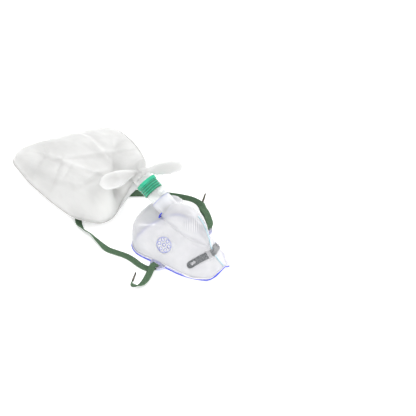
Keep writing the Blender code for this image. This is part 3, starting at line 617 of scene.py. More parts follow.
@dataclass(frozen=True)
class ClearStyrene(Finish):
    """Clear rigid styrene, injection moulded: almost colourless, with bright edges."""

    cloud_size: float = 8.0
    bump_size: float = 5.0
    bump_height: float = 0.04
    body: str = "#eef2f1"
    cloud: str = "#f6f8f7"
    wall: ClearWall = ClearWall(facing=0.3, grazing=0.8, blend=0.4, start=0.1, end=0.9)

    def paint(self, tree: Tree, shader: Node) -> None:
        """Cool white that thickens where the wall turns away.

        Args:
            tree: The material's tree.
            shader: Its Principled node.
        """
        coords = object_place(tree)
        colour = self.clouded(tree, coords, self.body, self.cloud)
        feed(tree, shader, {"Base Color": colour, "Alpha": self.wall.alpha(tree)})
        self.relief(tree, shader, coords)


@dataclass(frozen=True)
class GreenPolypropylene(Finish):
    """Green polypropylene, injection moulded: even colour, slightly see-through, satin gloss."""

    cloud_size: float = 12.0
    deep: str = "#0c9d76"
    light: str = "#22b992"
    # Painted shade: the darker green at the bottom of the grooves.
    groove_shade: str = "#007a58"
    groove_radius: float = 12.4
    ridge_radius: float = 12.95
    alpha: float = 0.93
    gloss: float = 0.4
    gloss_roughness: float = 0.1

    def paint(self, tree: Tree, shader: Node) -> None:
        """Two greens in soft flow marks, with painted shade darkening the grooves.

        Args:
            tree: The material's tree.
            shader: Its Principled node.
        """
        coords = object_place(tree)
        flow = self.clouded(tree, coords, self.deep, self.light)
        radius = from_port_axis(tree, coords)[1]
        raised = ranged(tree, radius, self.groove_radius * MM, self.ridge_radius * MM)
        # Painted shade: darker in the grooves, the flow colour on the ridges.
        colour = mixed(tree, raised, linear(self.groove_shade), flow)
        feed(tree, shader, {"Base Color": colour, "Alpha": self.alpha})
        feed(tree, shader, {"Coat Weight": self.gloss, "Coat Roughness": self.gloss_roughness})
        self.relief(tree, shader, coords)


@dataclass(frozen=True)
class RolledStrip(Finish):
    """Soft aluminium strip, rolled and left bare: grey, dull, with fine marks along its length."""

    cloud_size: float = 0.9
    cloud_detail: float = 4.0
    bump_size: float = 0.4
    dark: str = "#55585a"
    light: str = "#8a8c8e"
    drawn: float = 0.2

    def paint(self, tree: Tree, shader: Node) -> None:
        """Fine rolling marks, far longer than wide.

        Args:
            tree: The material's tree.
            shader: Its Principled node.
        """
        along = stretched(tree, object_place(tree), (1, self.drawn, 1))
        feed(tree, shader, {"Base Color": self.clouded(tree, along, self.dark, self.light)})
        self.relief(tree, shader, along)


@dataclass(frozen=True)
class Plain(Finish):
    """A small part of one moulded or rolled material: two close tones and a fine grain."""

    dark: str = "#e0e1dd"
    light: str = "#f0f1ee"

    def paint(self, tree: Tree, shader: Node) -> None:
        """Two close tones.

        Args:
            tree: The material's tree.
            shader: Its Principled node.
        """
        coords = object_place(tree)
        feed(tree, shader, {"Base Color": self.clouded(tree, coords, self.dark, self.light)})
        self.relief(tree, shader, coords)


@dataclass(frozen=True)
class LightTable(Finish):
    """An opal acrylic table lit faintly from below, which keeps the shadows pale."""

    face: str = "#f6f6f6"
    glow: float = 0.33

    def paint(self, tree: Tree, shader: Node) -> None:
        """An even white with a faint glow.

        Args:
            tree: The material's tree.
            shader: Its Principled node.
        """
        face = linear(self.face)
        feed(tree, shader, {"Base Color": face, "Emission Color": face, "Emission Strength": self.glow})


@dataclass(frozen=True)
class WovenElastic(Finish):
    """Woven elastic: green yarn over rubber threads, as fine dull ribs across the band and cords along it."""

    bump_height: float = 0.12
    deep: str = "#1c3020"
    light: str = "#6c8a6c"
    rib: float = 1.1
    cord: float = 1.2
    fuzz_size: float = 3.0
    fuzz_detail: float = 5.0
    hollow: float = -1.4
    crown: float = 2.2
    shine: float = 0.15

    def paint(self, tree: Tree, shader: Node) -> None:
        """Yarn ribs from the band's own UV map, in metres along and across.

        Args:
            tree: The material's tree.
            shader: Its Principled node.
        """
        place = add_node(tree, "ShaderNodeUVMap", uv_map="along").outputs["UV"]
        parts = add_node(tree, "ShaderNodeSeparateXYZ", {0: place})
        ribs, cords = waves(tree, parts.outputs["X"], self.rib), waves(tree, parts.outputs["Y"], self.cord)
        fuzz = noisy(tree, place, self.fuzz_size, self.fuzz_detail)
        height = reckoned(tree, "ADD", reckoned(tree, "ADD", ribs, cords), fuzz)
        share = ranged(tree, height, self.hollow, self.crown)
        yarn = mixed(tree, share, linear(self.deep), linear(self.light))
        feed(tree, shader, {"Base Color": yarn, "Specular IOR Level": self.shine})
        self.bump(tree, shader, height, self.bump_height)


PVC = ClearPvc("clear_moulded_pvc", roughness=0.1, ior=1.53)
RIDGE = EdgePvc("pvc_ridge", roughness=0.12, ior=1.53, deep="#a3c8d3", pale="#c3dee6", alpha=0.7)
EDGE = EdgePvc("pvc_cut_edge", roughness=0.15, ior=1.53)
FILM = FrostedFilm("frosted_blown_film", roughness=0.36, ior=1.5)
WELD = Plain("welded_film_edge", cloud_size=12.0, bump_size=4.8, dark="#b4b3b1", light="#c4c3c1")
TABLE_TOP = LightTable("backlit_acrylic_table", roughness=0.9)
STYRENE = ClearStyrene("clear_moulded_styrene", roughness=0.07, ior=1.59)
GREEN = GreenPolypropylene("green_moulded_polypropylene", roughness=0.24, ior=1.49)
STRIP = RolledStrip("rolled_aluminium_strip", roughness=0.42, metallic=0.75)
SILICONE = Plain("white_moulded_silicone", roughness=0.5)
TIN = Plain(
    "crimped_tin_plate", roughness=0.38, metallic=0.8, cloud_size=1.5, bump_size=0.6,
    dark="#3c3a32", light="#6b675c",
)
ELASTIC = WovenElastic("woven_green_elastic", roughness=0.85)


def new_object(name: str, data: bpy.types.ID) -> bpy.types.Object:
    """Links a mesh, light or camera into the scene as an object at the origin.

    Args:
        name: The object's name.
        data: The mesh, light or camera.

    Returns:
        The object.
    """
    obj = bpy.data.objects.new(name, data)
    bpy.context.scene.collection.objects.link(obj)
    return obj


def merged_copy(node: str, name: str, sharp: float = 32.0) -> bpy.types.Object:
    """A copy of a CAD node with its loose triangles merged and its smooth faces shaded smooth.

    Args:
        node: The CAD node.
        name: The new piece's name.
        sharp: The angle in degrees past which an edge stays crisp.

    Returns:
        The copy.
    """
    bm = bmesh.new()
    bm.from_mesh(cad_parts[node].data)
    bmesh.ops.remove_doubles(bm, verts=bm.verts[:], dist=MERGE_GAP * MM)
    bmesh.ops.dissolve_degenerate(bm, edges=bm.edges[:], dist=SLIVER * MM)
    mesh = bpy.data.meshes.new(name)
    bm.to_mesh(mesh)
    bm.free()
    mesh.shade_smooth()
    mesh.set_sharp_from_angle(angle=math.radians(sharp))
    return new_object(name, mesh)


def baked(obj: bpy.types.Object) -> None:
    """Turns an object's modifiers into its plain mesh.

    Args:
        obj: The object, whose modifiers go.
    """
    graph = bpy.context.evaluated_depsgraph_get()
    made = bpy.data.meshes.new_from_object(obj.evaluated_get(graph), depsgraph=graph)
    obj.modifiers.clear()
    obj.data = made


def geometry_tree(name: str, sockets: dict[str, str]) -> Tree:
    """An empty geometry tree with its named inputs and one geometry output.

    Args:
        name: The tree's name.
        sockets: Each input's name and kind, such as Float.

    Returns:
        The tree.
    """
    tree = bpy.data.node_groups.new(name, "GeometryNodeTree")
    for socket, kind in sockets.items():
        tree.interface.new_socket(socket, in_out="INPUT", socket_type=f"NodeSocket{kind}")
    tree.interface.new_socket("Geometry", in_out="OUTPUT", socket_type="NodeSocketGeometry")
    return tree


def put_out(tree: Tree, made: Socket, material: Socket) -> None:
    """Ends a geometry tree: makes its instances real, gives them the material and puts them out.

    Args:
        tree: The geometry tree.
        made: The socket of what the tree makes.
        material: The socket of its material.
    """
    real = add_node(tree, "GeometryNodeRealizeInstances", {0: made})
    done = add_node(tree, "GeometryNodeSetMaterial", {"Geometry": real.outputs[0], "Material": material})
    add_node(tree, "NodeGroupOutput", {"Geometry": done.outputs[0]})


def ring(tree: Tree, points: int, radius: Socket) -> Socket:
    """A circle's curve with so many points."""
    made = add_node(tree, "GeometryNodeCurvePrimitiveCircle", {"Resolution": points, "Radius": radius})
    return made.outputs["Curve"]


def swept(tree: Tree, path: Socket, section: Socket, caps: bool = False) -> Socket:
    """The mesh of a section swept along a curve."""
    inputs = {"Curve": path, "Profile Curve": section, "Fill Caps": caps}
    return add_node(tree, "GeometryNodeCurveToMesh", inputs).outputs["Mesh"]


def joined(tree: Tree, *parts: Socket) -> Socket:
    """The geometry of several sockets in one.

    Args:
        tree: The geometry tree.
        parts: The sockets.

    Returns:
        The joined geometry's socket.
    """
    made = add_node(tree, "GeometryNodeJoinGeometry")
    for part in parts:
        tree.links.new(part, made.inputs[0])
    return made.outputs[0]


def run_nodes(obj: bpy.types.Object, tree: Tree, values: dict[str, Any]) -> None:
    """Runs a geometry tree on an object and keeps what it makes as a plain mesh.

    Args:
        obj: The object.
        tree: The geometry tree.
        values: The tree's inputs by name.
    """
    modifier = obj.modifiers.new(tree.name, "NODES")
    modifier.node_group = tree
    for item in tree.interface.items_tree:
        if item.in_out == "INPUT" and item.name in values:
            modifier[item.identifier] = values[item.name]
    baked(obj)


def bead_tree(points: int = 8) -> Tree:
    """A round bead swept along the line that the object holds.

    Args:
        points: How many sides the bead has.

    Returns:
        The tree, made once.
    """
    if "swept_bead" in bpy.data.node_groups:
        return bpy.data.node_groups["swept_bead"]
    inputs = {"Geometry": "Geometry", "Bead Radius": "Float", "Spacing": "Float", "Material": "Material"}
    tree = geometry_tree("swept_bead", inputs)
    given = add_node(tree, "NodeGroupInput").outputs
    path = add_node(tree, "GeometryNodeMeshToCurve", {"Mesh": given["Geometry"]}).outputs[0]
    steps = {"Curve": path, "Length": given["Spacing"]}
    even = add_node(tree, "GeometryNodeResampleCurve", steps, mode="LENGTH").outputs[0]
    put_out(tree, swept(tree, even, ring(tree, points, given["Bead Radius"]), caps=True), given["Material"])
    return tree


def catmull(p: Sequence[np.ndarray], t: float) -> np.ndarray:
    """A point on the Catmull-Rom curve between the second and third of four points.

    Args:
        p: The four points.
        t: The share of the way, 0 to 1.

    Returns:
        The point.
    """
    return 0.5 * (
        2 * p[1]
        + (p[2] - p[0]) * t
        + (2 * p[0] - 5 * p[1] + 4 * p[2] - p[3]) * t**2
        + (3 * p[1] - p[0] - 3 * p[2] + p[3]) * t**3
    )


def smooth_line(rows: Sequence[Sequence[float]], counts: Sequence[int]) -> list[np.ndarray]:
    """A smooth curve through the rows.

    Args:
        rows: The rows, whose first three numbers are a place.
        counts: How many points each stretch between two rows gets.

    Returns:
        The points, with the last row at the end.
    """
    given = [np.asarray(row, float) for row in rows]
    last = len(given) - 1
    made = []
    for k, count in enumerate(counts):
        around = [given[min(max(i, 0), last)] for i in (k - 1, k, k + 1, k + 2)]
        made += [catmull(around, j / count) for j in range(count)]
    return [*made, given[-1]]


def read_points(mesh: bpy.types.Mesh) -> tuple[np.ndarray, np.ndarray]:
    """Reads a mesh's points.

    Args:
        mesh: The mesh.

    Returns:
        Their places in millimetres from the nose tip, and their normals, as rows of X, Y and Z.
    """
    count = len(mesh.vertices)
    points, normals = np.empty(count * 3), np.empty(count * 3)
    mesh.vertices.foreach_get("co", points)
    mesh.vertices.foreach_get("normal", normals)
    return (points.reshape(-1, 3) - np.array(TABLE.nose_tip)) / MM, normals.reshape(-1, 3)


def put_points(mesh: bpy.types.Mesh, places: np.ndarray) -> None:
    """Moves a mesh's points to places in millimetres from the nose tip."""
    mesh.vertices.foreach_set("co", (places * MM + np.array(TABLE.nose_tip)).reshape(-1))
    mesh.update()


def dress(obj: bpy.types.Object, finish: Finish, node: Optional[str]) -> None:
    """Gives a piece its finish and ties it to the frame.

    Args:
        obj: The piece.
        finish: Its finish.
        node: The CAD node that it stands for, if any.
    """
    obj.data.materials.clear()
    obj.data.materials.append(finish.build())
    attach(obj, "root")
    if node:
        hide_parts(node)
    log.info("%s: %d faces, %s", obj.name, len(obj.data.polygons), finish.name)


def beaded(name: str, line: Sequence[Sequence[float]], radius: float, finish: Finish) -> None:
    """Sweeps a round bead along a line of places and dresses it.

    Args:
        name: The piece's name.
        line: The places in millimetres from the nose tip.
        radius: The bead's radius in millimetres.
        finish: Its finish.
    """
    mesh = bpy.data.meshes.new(name)
    links = [(i, i + 1) for i in range(len(line) - 1)]
    mesh.from_pydata([tuple(TABLE.at(place)) for place in line], links, [])
    bead = new_object(name, mesh)
    values = {"Bead Radius": radius * MM, "Spacing": BEAD_SPACING * MM, "Material": finish.build()}
    run_nodes(bead, bead_tree(), values)
    bead.data.shade_smooth()
    dress(bead, finish, None)


@dataclass(frozen=True)
class VentGrid:
    """A vent in the side wall: one raised ring and seven holes, each with a moulded lip."""

    side: Side
    centre: Place = (-74.37, 27.37, 24.3)
    normal: Place = (0.2148, 0.8439, 0.4917)
    upright: Place = (-0.1213, -0.4765, 0.8708)
    ring_radius: float = 9.6
    ring_points: int = 64
    circle_radius: float = 6.51
    hole_radius: float = 1.95
    hole_points: int = 24
    lip: float = 0.3
    lip_points: int = 8
    holes: int = 6
    rise: float = 0.8

    def mirrored(self, way: Place) -> Vector:
        """A place or way on this vent's side of the mask."""
        return Vector((way[0], self.side.value * way[1], way[2]))

    def place(self) -> Matrix:
        """Finds the vent's frame on the wall.

        Returns:
            The frame, with Z outwards.
        """
        out = self.mirrored(self.normal).normalized()
        tall = self.mirrored(self.upright).normalized()
        turn = Matrix((tall.cross(out), tall, out)).transposed().to_4x4()
        return Matrix.Translation(TABLE.at(self.mirrored(self.centre)) + out * self.rise * MM) @ turn

    def tree(self) -> Tree:
        """Lips on a circle of points and one at its middle, with a larger ring round them.

        Returns:
            The tree, made once for both vents.
        """
        if "vent_lips" in bpy.data.node_groups:
            return bpy.data.node_groups["vent_lips"]
        sizes = dict.fromkeys(("Circle Radius", "Hole Radius", "Ring Radius", "Lip Radius"), "Float")
        tree = geometry_tree("vent_lips", {**sizes, "Holes": "Int", "Material": "Material"})
        given = add_node(tree, "NodeGroupInput").outputs
        section = ring(tree, self.lip_points, given["Lip Radius"])
        circle = {"Vertices": given["Holes"], "Radius": given["Circle Radius"]}
        spots = add_node(tree, "GeometryNodeMeshCircle", circle).outputs["Mesh"]
        middle = add_node(tree, "GeometryNodePoints", {"Count": 1}).outputs[0]
        points = joined(tree, middle, add_node(tree, "GeometryNodeMeshToPoints", {"Mesh": spots}).outputs[0])
        lip = swept(tree, ring(tree, self.hole_points, given["Hole Radius"]), section)
        lips = add_node(tree, "GeometryNodeInstanceOnPoints", {"Points": points, "Instance": lip}).outputs[0]
        band = swept(tree, ring(tree, self.ring_points, given["Ring Radius"]), section)
        put_out(tree, joined(tree, lips, band), given["Material"])
        return tree

    def build(self) -> None:
        """Makes the vent's lips and dresses them."""
        name = f"vent_lips_{self.side.name.lower()}"
        lips = new_object(name, bpy.data.meshes.new(name))
        values = {
            "Circle Radius": self.circle_radius * MM,
            "Hole Radius": self.hole_radius * MM,
            "Ring Radius": self.ring_radius * MM,
            "Lip Radius": self.lip * MM,
            "Holes": self.holes,
            "Material": EDGE.build(),
        }
        run_nodes(lips, self.tree(), values)
        lips.data.transform(self.place())
        lips.data.shade_smooth()
        dress(lips, EDGE, None)


@dataclass(frozen=True)
class NoseRidge:
    """The thin moulded ridge down the middle of the nose, from the chamber to the tip."""

    line: tuple[Place, ...] = (
        (-44.0, 0, 74.4), (-40.0, 0, 71.8), (-35.5, 0, 68.2), (-32.0, 0, 62.8), (-29.0, 0, 57.2),
        (-25.2, 0, 47.8), (-24.0, 0, 42.5), (-22.6, 0, 38.2), (-19.5, 0, 32.6), (-16.1, 0, 28.0),
        (-11.0, 0, 24.2), (-5.2, 0, 21.2), (-1.0, 0, 20.0),
    )
    radius: float = 0.75

    def build(self) -> None:
        """Sweeps the ridge and dresses it."""
        beaded("nose_ridge", self.line, self.radius, RIDGE)


@dataclass(frozen=True)
class FacePiece:
    """The clear moulded face piece: skirt, nose chamber and port in one, its vents' lips and its ridge."""

    sharp: float = 38.0
    vents: tuple[VentGrid, ...] = (VentGrid(Side.NEAR), VentGrid(Side.FAR))
    ridge: NoseRidge = NoseRidge()

    def build(self) -> None:
        """Makes and dresses the moulding, its vents and its ridge."""
        shell = merged_copy("mask_shell", "face_piece", self.sharp)
        dress(shell, PVC, "mask_shell")
        for vent in self.vents:
            vent.build()
        self.ridge.build()


@dataclass(frozen=True)
class SmallPart:
    """A rigid or metal part: a merged copy of its solid with its edges eased."""

    node: str
    name: str
    finish: Finish
    slot: Slot
    ease: float = 0.18
    ease_steps: int = 2
    ease_angle: float = 40.0
    sharp: float = 50.0

    def build(self) -> None:
        """Copies, eases and dresses the part."""
        part = merged_copy(self.node, self.name)
        edges = part.modifiers.new("Ease", "BEVEL")
        edges.width = self.ease * MM
        edges.segments = self.ease_steps
        edges.limit_method = "ANGLE"
        edges.angle_limit = math.radians(self.ease_angle)
        edges.harden_normals = False
        baked(part)
        part.data.shade_smooth()
        part.data.set_sharp_from_angle(angle=math.radians(self.sharp))
        dress(part, self.finish, self.node)


SMALL_PARTS = (
    SmallPart("nose_clip", "bridge_clip", STRIP, Slot.STRIP),
    SmallPart("connector_body", "gas_connector", STYRENE, Slot.STYRENE),
    SmallPart("valve_disc", "one_way_disc", SILICONE, Slot.SILICONE),
    SmallPart("bag_collar", "green_collar", GREEN, Slot.GREEN),
    SmallPart("bag_spigot", "neck_ring", STYRENE, Slot.STYRENE),
    SmallPart("strap_tip_near", "elastic_tip_near", TIN, Slot.TIN),
    SmallPart("strap_tip_far", "elastic_tip_far", TIN, Slot.TIN),
)


@dataclass(frozen=True)
class Crease:
    """A fold of the film, seen from above: a line of X and Y, its height and width, and a step across it."""

    line: tuple[tuple[float, float], ...]
    height: float
    width: float
    step: float = 0.0
    step_spread: float = 4.0

    def lift(self, places: np.ndarray) -> np.ndarray:
        """How far the fold lifts the film.

        Args:
            places: Rows of X and Y in millimetres.

        Returns:
            The lift of each place in millimetres.
        """
        best = np.full(len(places), np.inf)
        side = np.zeros(len(places))
        for start, end in zip(self.line, self.line[1:]):
            span = np.subtract(end, start).astype(float)
            share = np.clip((places - start) @ span / (span @ span), 0.0, 1.0)
            gap = places - (start + share[:, None] * span)
            away = np.hypot(gap[:, 0], gap[:, 1])
            nearer = away < best
            best = np.where(nearer, away, best)
            side = np.where(nearer, np.sign(span[0] * gap[:, 1] - span[1] * gap[:, 0]), side)
        step = np.exp(-((best / (self.width * self.step_spread)) ** 2)) * np.tanh(best / self.width)
        return self.height * np.exp(-((best / self.width) ** 2)) + self.step * side * step


@dataclass(frozen=True)
class CornerFold:
    """A corner of the bag folded out at the neck, and the way that the scene turns its flat side.

    The ways are unit vectors from the fold's root: along it, and square to its flat side. The shares are of
    the fold's length or of its half width.
    """

    way: Place
    face: Place
    new_way: Place
    new_face: Place
    stretch: Place
    dish: float = 0.0
    dish_place: float = 0.6
    dish_length: float = 0.34
    dish_width: float = 0.66
    turn_start: float = 0.12
    turn_span: float = 0.3
    root: Place = (-147.5, 0.0, 76.1)
    length: float = 53.0
    half_width: float = 12.0

    def axes(self, way: Place, face: Place) -> np.ndarray:
        """Squares two ways.

        Args:
            way: The way along the fold.
            face: The way out of its flat side.

        Returns:
            Three square unit vectors as rows: along, across and out of the flat side.
        """
        along = Vector(way).normalized()
        across = along.cross(Vector(face)).normalized()
        return np.array([along, across, across.cross(along)])

    def dished(self, places: np.ndarray) -> np.ndarray:
        """How far the flat side sinks between the fold's two edges.

        Args:
            places: Rows of X, Y and Z in millimetres.

        Returns:
            The lift of each place in millimetres, 0 or less.
        """
        local = (places - np.array(self.root)) @ self.axes(self.new_way, self.new_face).T
        reach = (local[:, 0] - self.dish_place * self.length) / (self.dish_length * self.length)
        across = local[:, 1] / (self.dish_width * self.half_width)
        return -self.dish * np.exp(-((reach**2 + across**2) ** 2)) * (np.abs(local[:, 2]) < self.half_width)

    def turn(self, places: np.ndarray) -> np.ndarray:
        """Turns the fold's places, more with their distance from the root.

        Args:
            places: Rows of X, Y and Z in millimetres.

        Returns:
            The places, with those of the fold moved.
        """
        old, new = self.axes(self.way, self.face), self.axes(self.new_way, self.new_face)
        away = places - np.array(self.root)
        local = away @ old.T
        share = np.clip((local[:, 0] / self.length - self.turn_start) / self.turn_span, 0.0, 1.0)
        inside = (np.abs(local[:, 1]) < self.half_width) & (np.abs(local[:, 2]) < self.half_width / 2)
        share = (share * share * (3 - 2 * share) * inside)[:, None]
        moved_places = (local * np.array(self.stretch)) @ new + np.array(self.root)
        return places * (1 - share) + moved_places * share


@dataclass(frozen=True)
class ReservoirBag:
    """The film bag: puffed in the middle, pressed flat on the table, with long folds from its neck."""

    voxel: float = 1.3
    rounds: int = 2
    smoothing: float = 0.5
    crumple: float = 0.5
    crumple_size: float = 48.0
    crumple_octaves: int = 4
    weld_radius: float = 0.8
    weld_calm: float = 9.0
    weld_steps: int = 6
    weld: tuple[Place, ...] = (
        (-149, -4, 61), (-157, -4, 45), (-163, -3, 30), (-167, -5, 21), (-166, -10, 16), (-163, -18, 13),
        (-160, -31, 12), (-165, -45, 11), (-179, -54, 11), (-198, -60, 10), (-224, -60, 10), (-251, -57, 9),
        (-277, -53, 8), (-300, -47, 8), (-314, -43, 8), (-319.5, -37.5, 8), (-322, -30, 8), (-324, -24, 10),
        (-319, -12, 13), (-310, 0, 18), (-298, 13, 23), (-286, 27, 28), (-275, 39, 32), (-264, 50, 36),
        (-251, 58, 40), (-237, 60, 44), (-222, 57, 48), (-205, 51, 54), (-187, 43, 60), (-170, 33, 67),
        (-158, 24, 75),
    )
    flat_height: float = 4.0
    neck: Place = (-139.0, 0.0, 75.0)
    pleats: int = 11
    pleat_height: float = 0.9
    pleat_reach: float = 17.0
    towards_eye: float = 0.3
    near_fold: CornerFold = CornerFold(
        way=(-0.71, -0.61, -0.33), face=(0.1, -0.4, 0.9), new_way=(-0.66, -0.62, -0.42),
        new_face=(0.3, -0.45, 0.85), stretch=(0.96, 1.15, 0.85), dish=3.0,
    )
    far_fold: CornerFold = CornerFold(
        way=(0.56, 0.83, 0.1), face=(-0.8, 0.0, 0.5), new_way=(0.62, 0.78, 0.11),
        new_face=(0.42, -0.5, 0.75), stretch=(1.15, 0.92, 0.8),
    )
    creases: tuple[Crease, ...] = (
        Crease(((-281, -21), (-257, -17), (-242, -17), (-222, -12), (-208, -8)), 1.43, 3.25, 1.0),
        Crease(((-275, 28), (-253, 26), (-237, 22), (-223, 19)), 1.1, 2.6, -0.75),
        Crease(((-294, -12), (-286, -17), (-281, -21)), -0.77, 2.6),
        Crease(((-281, -21), (-276, -47), (-270, -67)), -0.99, 3.9, 0.5),
        Crease(((-253, -24), (-245, -42), (-236, -67)), -1.21, 3.9, 0.5),
        Crease(((-258, -16), (-238, 0), (-213, 21), (-184, 43)), -0.88, 3.25, 1.1),
        Crease(((-242, -17), (-236, -33)), -0.77, 2.6),
        Crease(((-208, -34), (-203, -10), (-196, 2)), -0.99, 3.25),
        Crease(((-270, 44), (-252, 38), (-222, 46)), 0.66, 3.9),
    )

    def gathers(self, places: np.ndarray) -> np.ndarray:
        """How far the gathered pleats lift the film round the neck.

        Args:
            places: Rows of X, Y and Z in millimetres.

        Returns:
            The lift of each place in millimetres.
        """
        away = places - np.array(self.neck)
        rise = np.cross((0.0, 1.0, 0.0), np.array(PORT_AXIS))
        angle = np.arctan2(away @ rise, away[:, 1])
        fade = np.exp(-((np.linalg.norm(away, axis=1) / self.pleat_reach) ** 2))
        return self.pleat_height * np.sin(self.pleats * angle) * fade

    def weld_line(self) -> list[np.ndarray]:
        """The welded edge as a smooth line of places."""
        return smooth_line(self.weld, [self.weld_steps] * (len(self.weld) - 1))

    def from_weld(self, places: np.ndarray) -> np.ndarray:
        """Measures to the welded edge.

        Args:
            places: Rows of X, Y and Z in millimetres.

        Returns:
            The distance of each place from the edge in millimetres.
        """
        best = np.full(len(places), np.inf)
        for point in self.weld_line():
            best = np.minimum(best, np.linalg.norm(places - point, axis=1))
        return best

    def lifted(self, places: np.ndarray, normals: np.ndarray) -> np.ndarray:
        """Adds the film's folds, crumples and gathers.

        Args:
            places: Rows of X, Y and Z in millimetres.
            normals: The film's normal at each place.

        Returns:
            The places, moved along their normals.
        """
        lift = sum(crease.lift(places[:, :2]) for crease in self.creases) * np.maximum(normals[:, 2], 0.0)
        rough = [noise.turbulence(Vector(p) / self.crumple_size, self.crumple_octaves, True) for p in places]
        lift += self.crumple * (np.array(rough) - np.mean(rough))
        lift *= np.clip(self.from_weld(places) / self.weld_calm, 0.0, 1.0)
        lift += self.gathers(places)
        hollow = self.near_fold.dished(places) + self.far_fold.dished(places)
        lift += hollow * (normals @ VIEW_WAY > self.towards_eye)
        lift = np.where(places[:, 2] < self.flat_height, np.minimum(lift, 0.0), lift)
        return places + normals * lift[:, None]

    def build(self) -> None:
        """Turns the bag's corners, remeshes it finely, folds and crumples it, and dresses it."""
        bag = merged_copy("reservoir_bag", "film_bag", 180.0)
        places = read_points(bag.data)[0]
        put_points(bag.data, self.far_fold.turn(self.near_fold.turn(places)))
        fine = bag.modifiers.new("Even", "REMESH")
        fine.mode = "VOXEL"
        fine.voxel_size = self.voxel * MM
        soft = bag.modifiers.new("Soft", "SMOOTH")
        soft.factor = self.smoothing
        soft.iterations = self.rounds
        baked(bag)
        put_points(bag.data, self.lifted(*read_points(bag.data)))
        bag.data.shade_smooth()
        dress(bag, FILM, "reservoir_bag")
        beaded("film_weld", self.weld_line(), self.weld_radius, WELD)


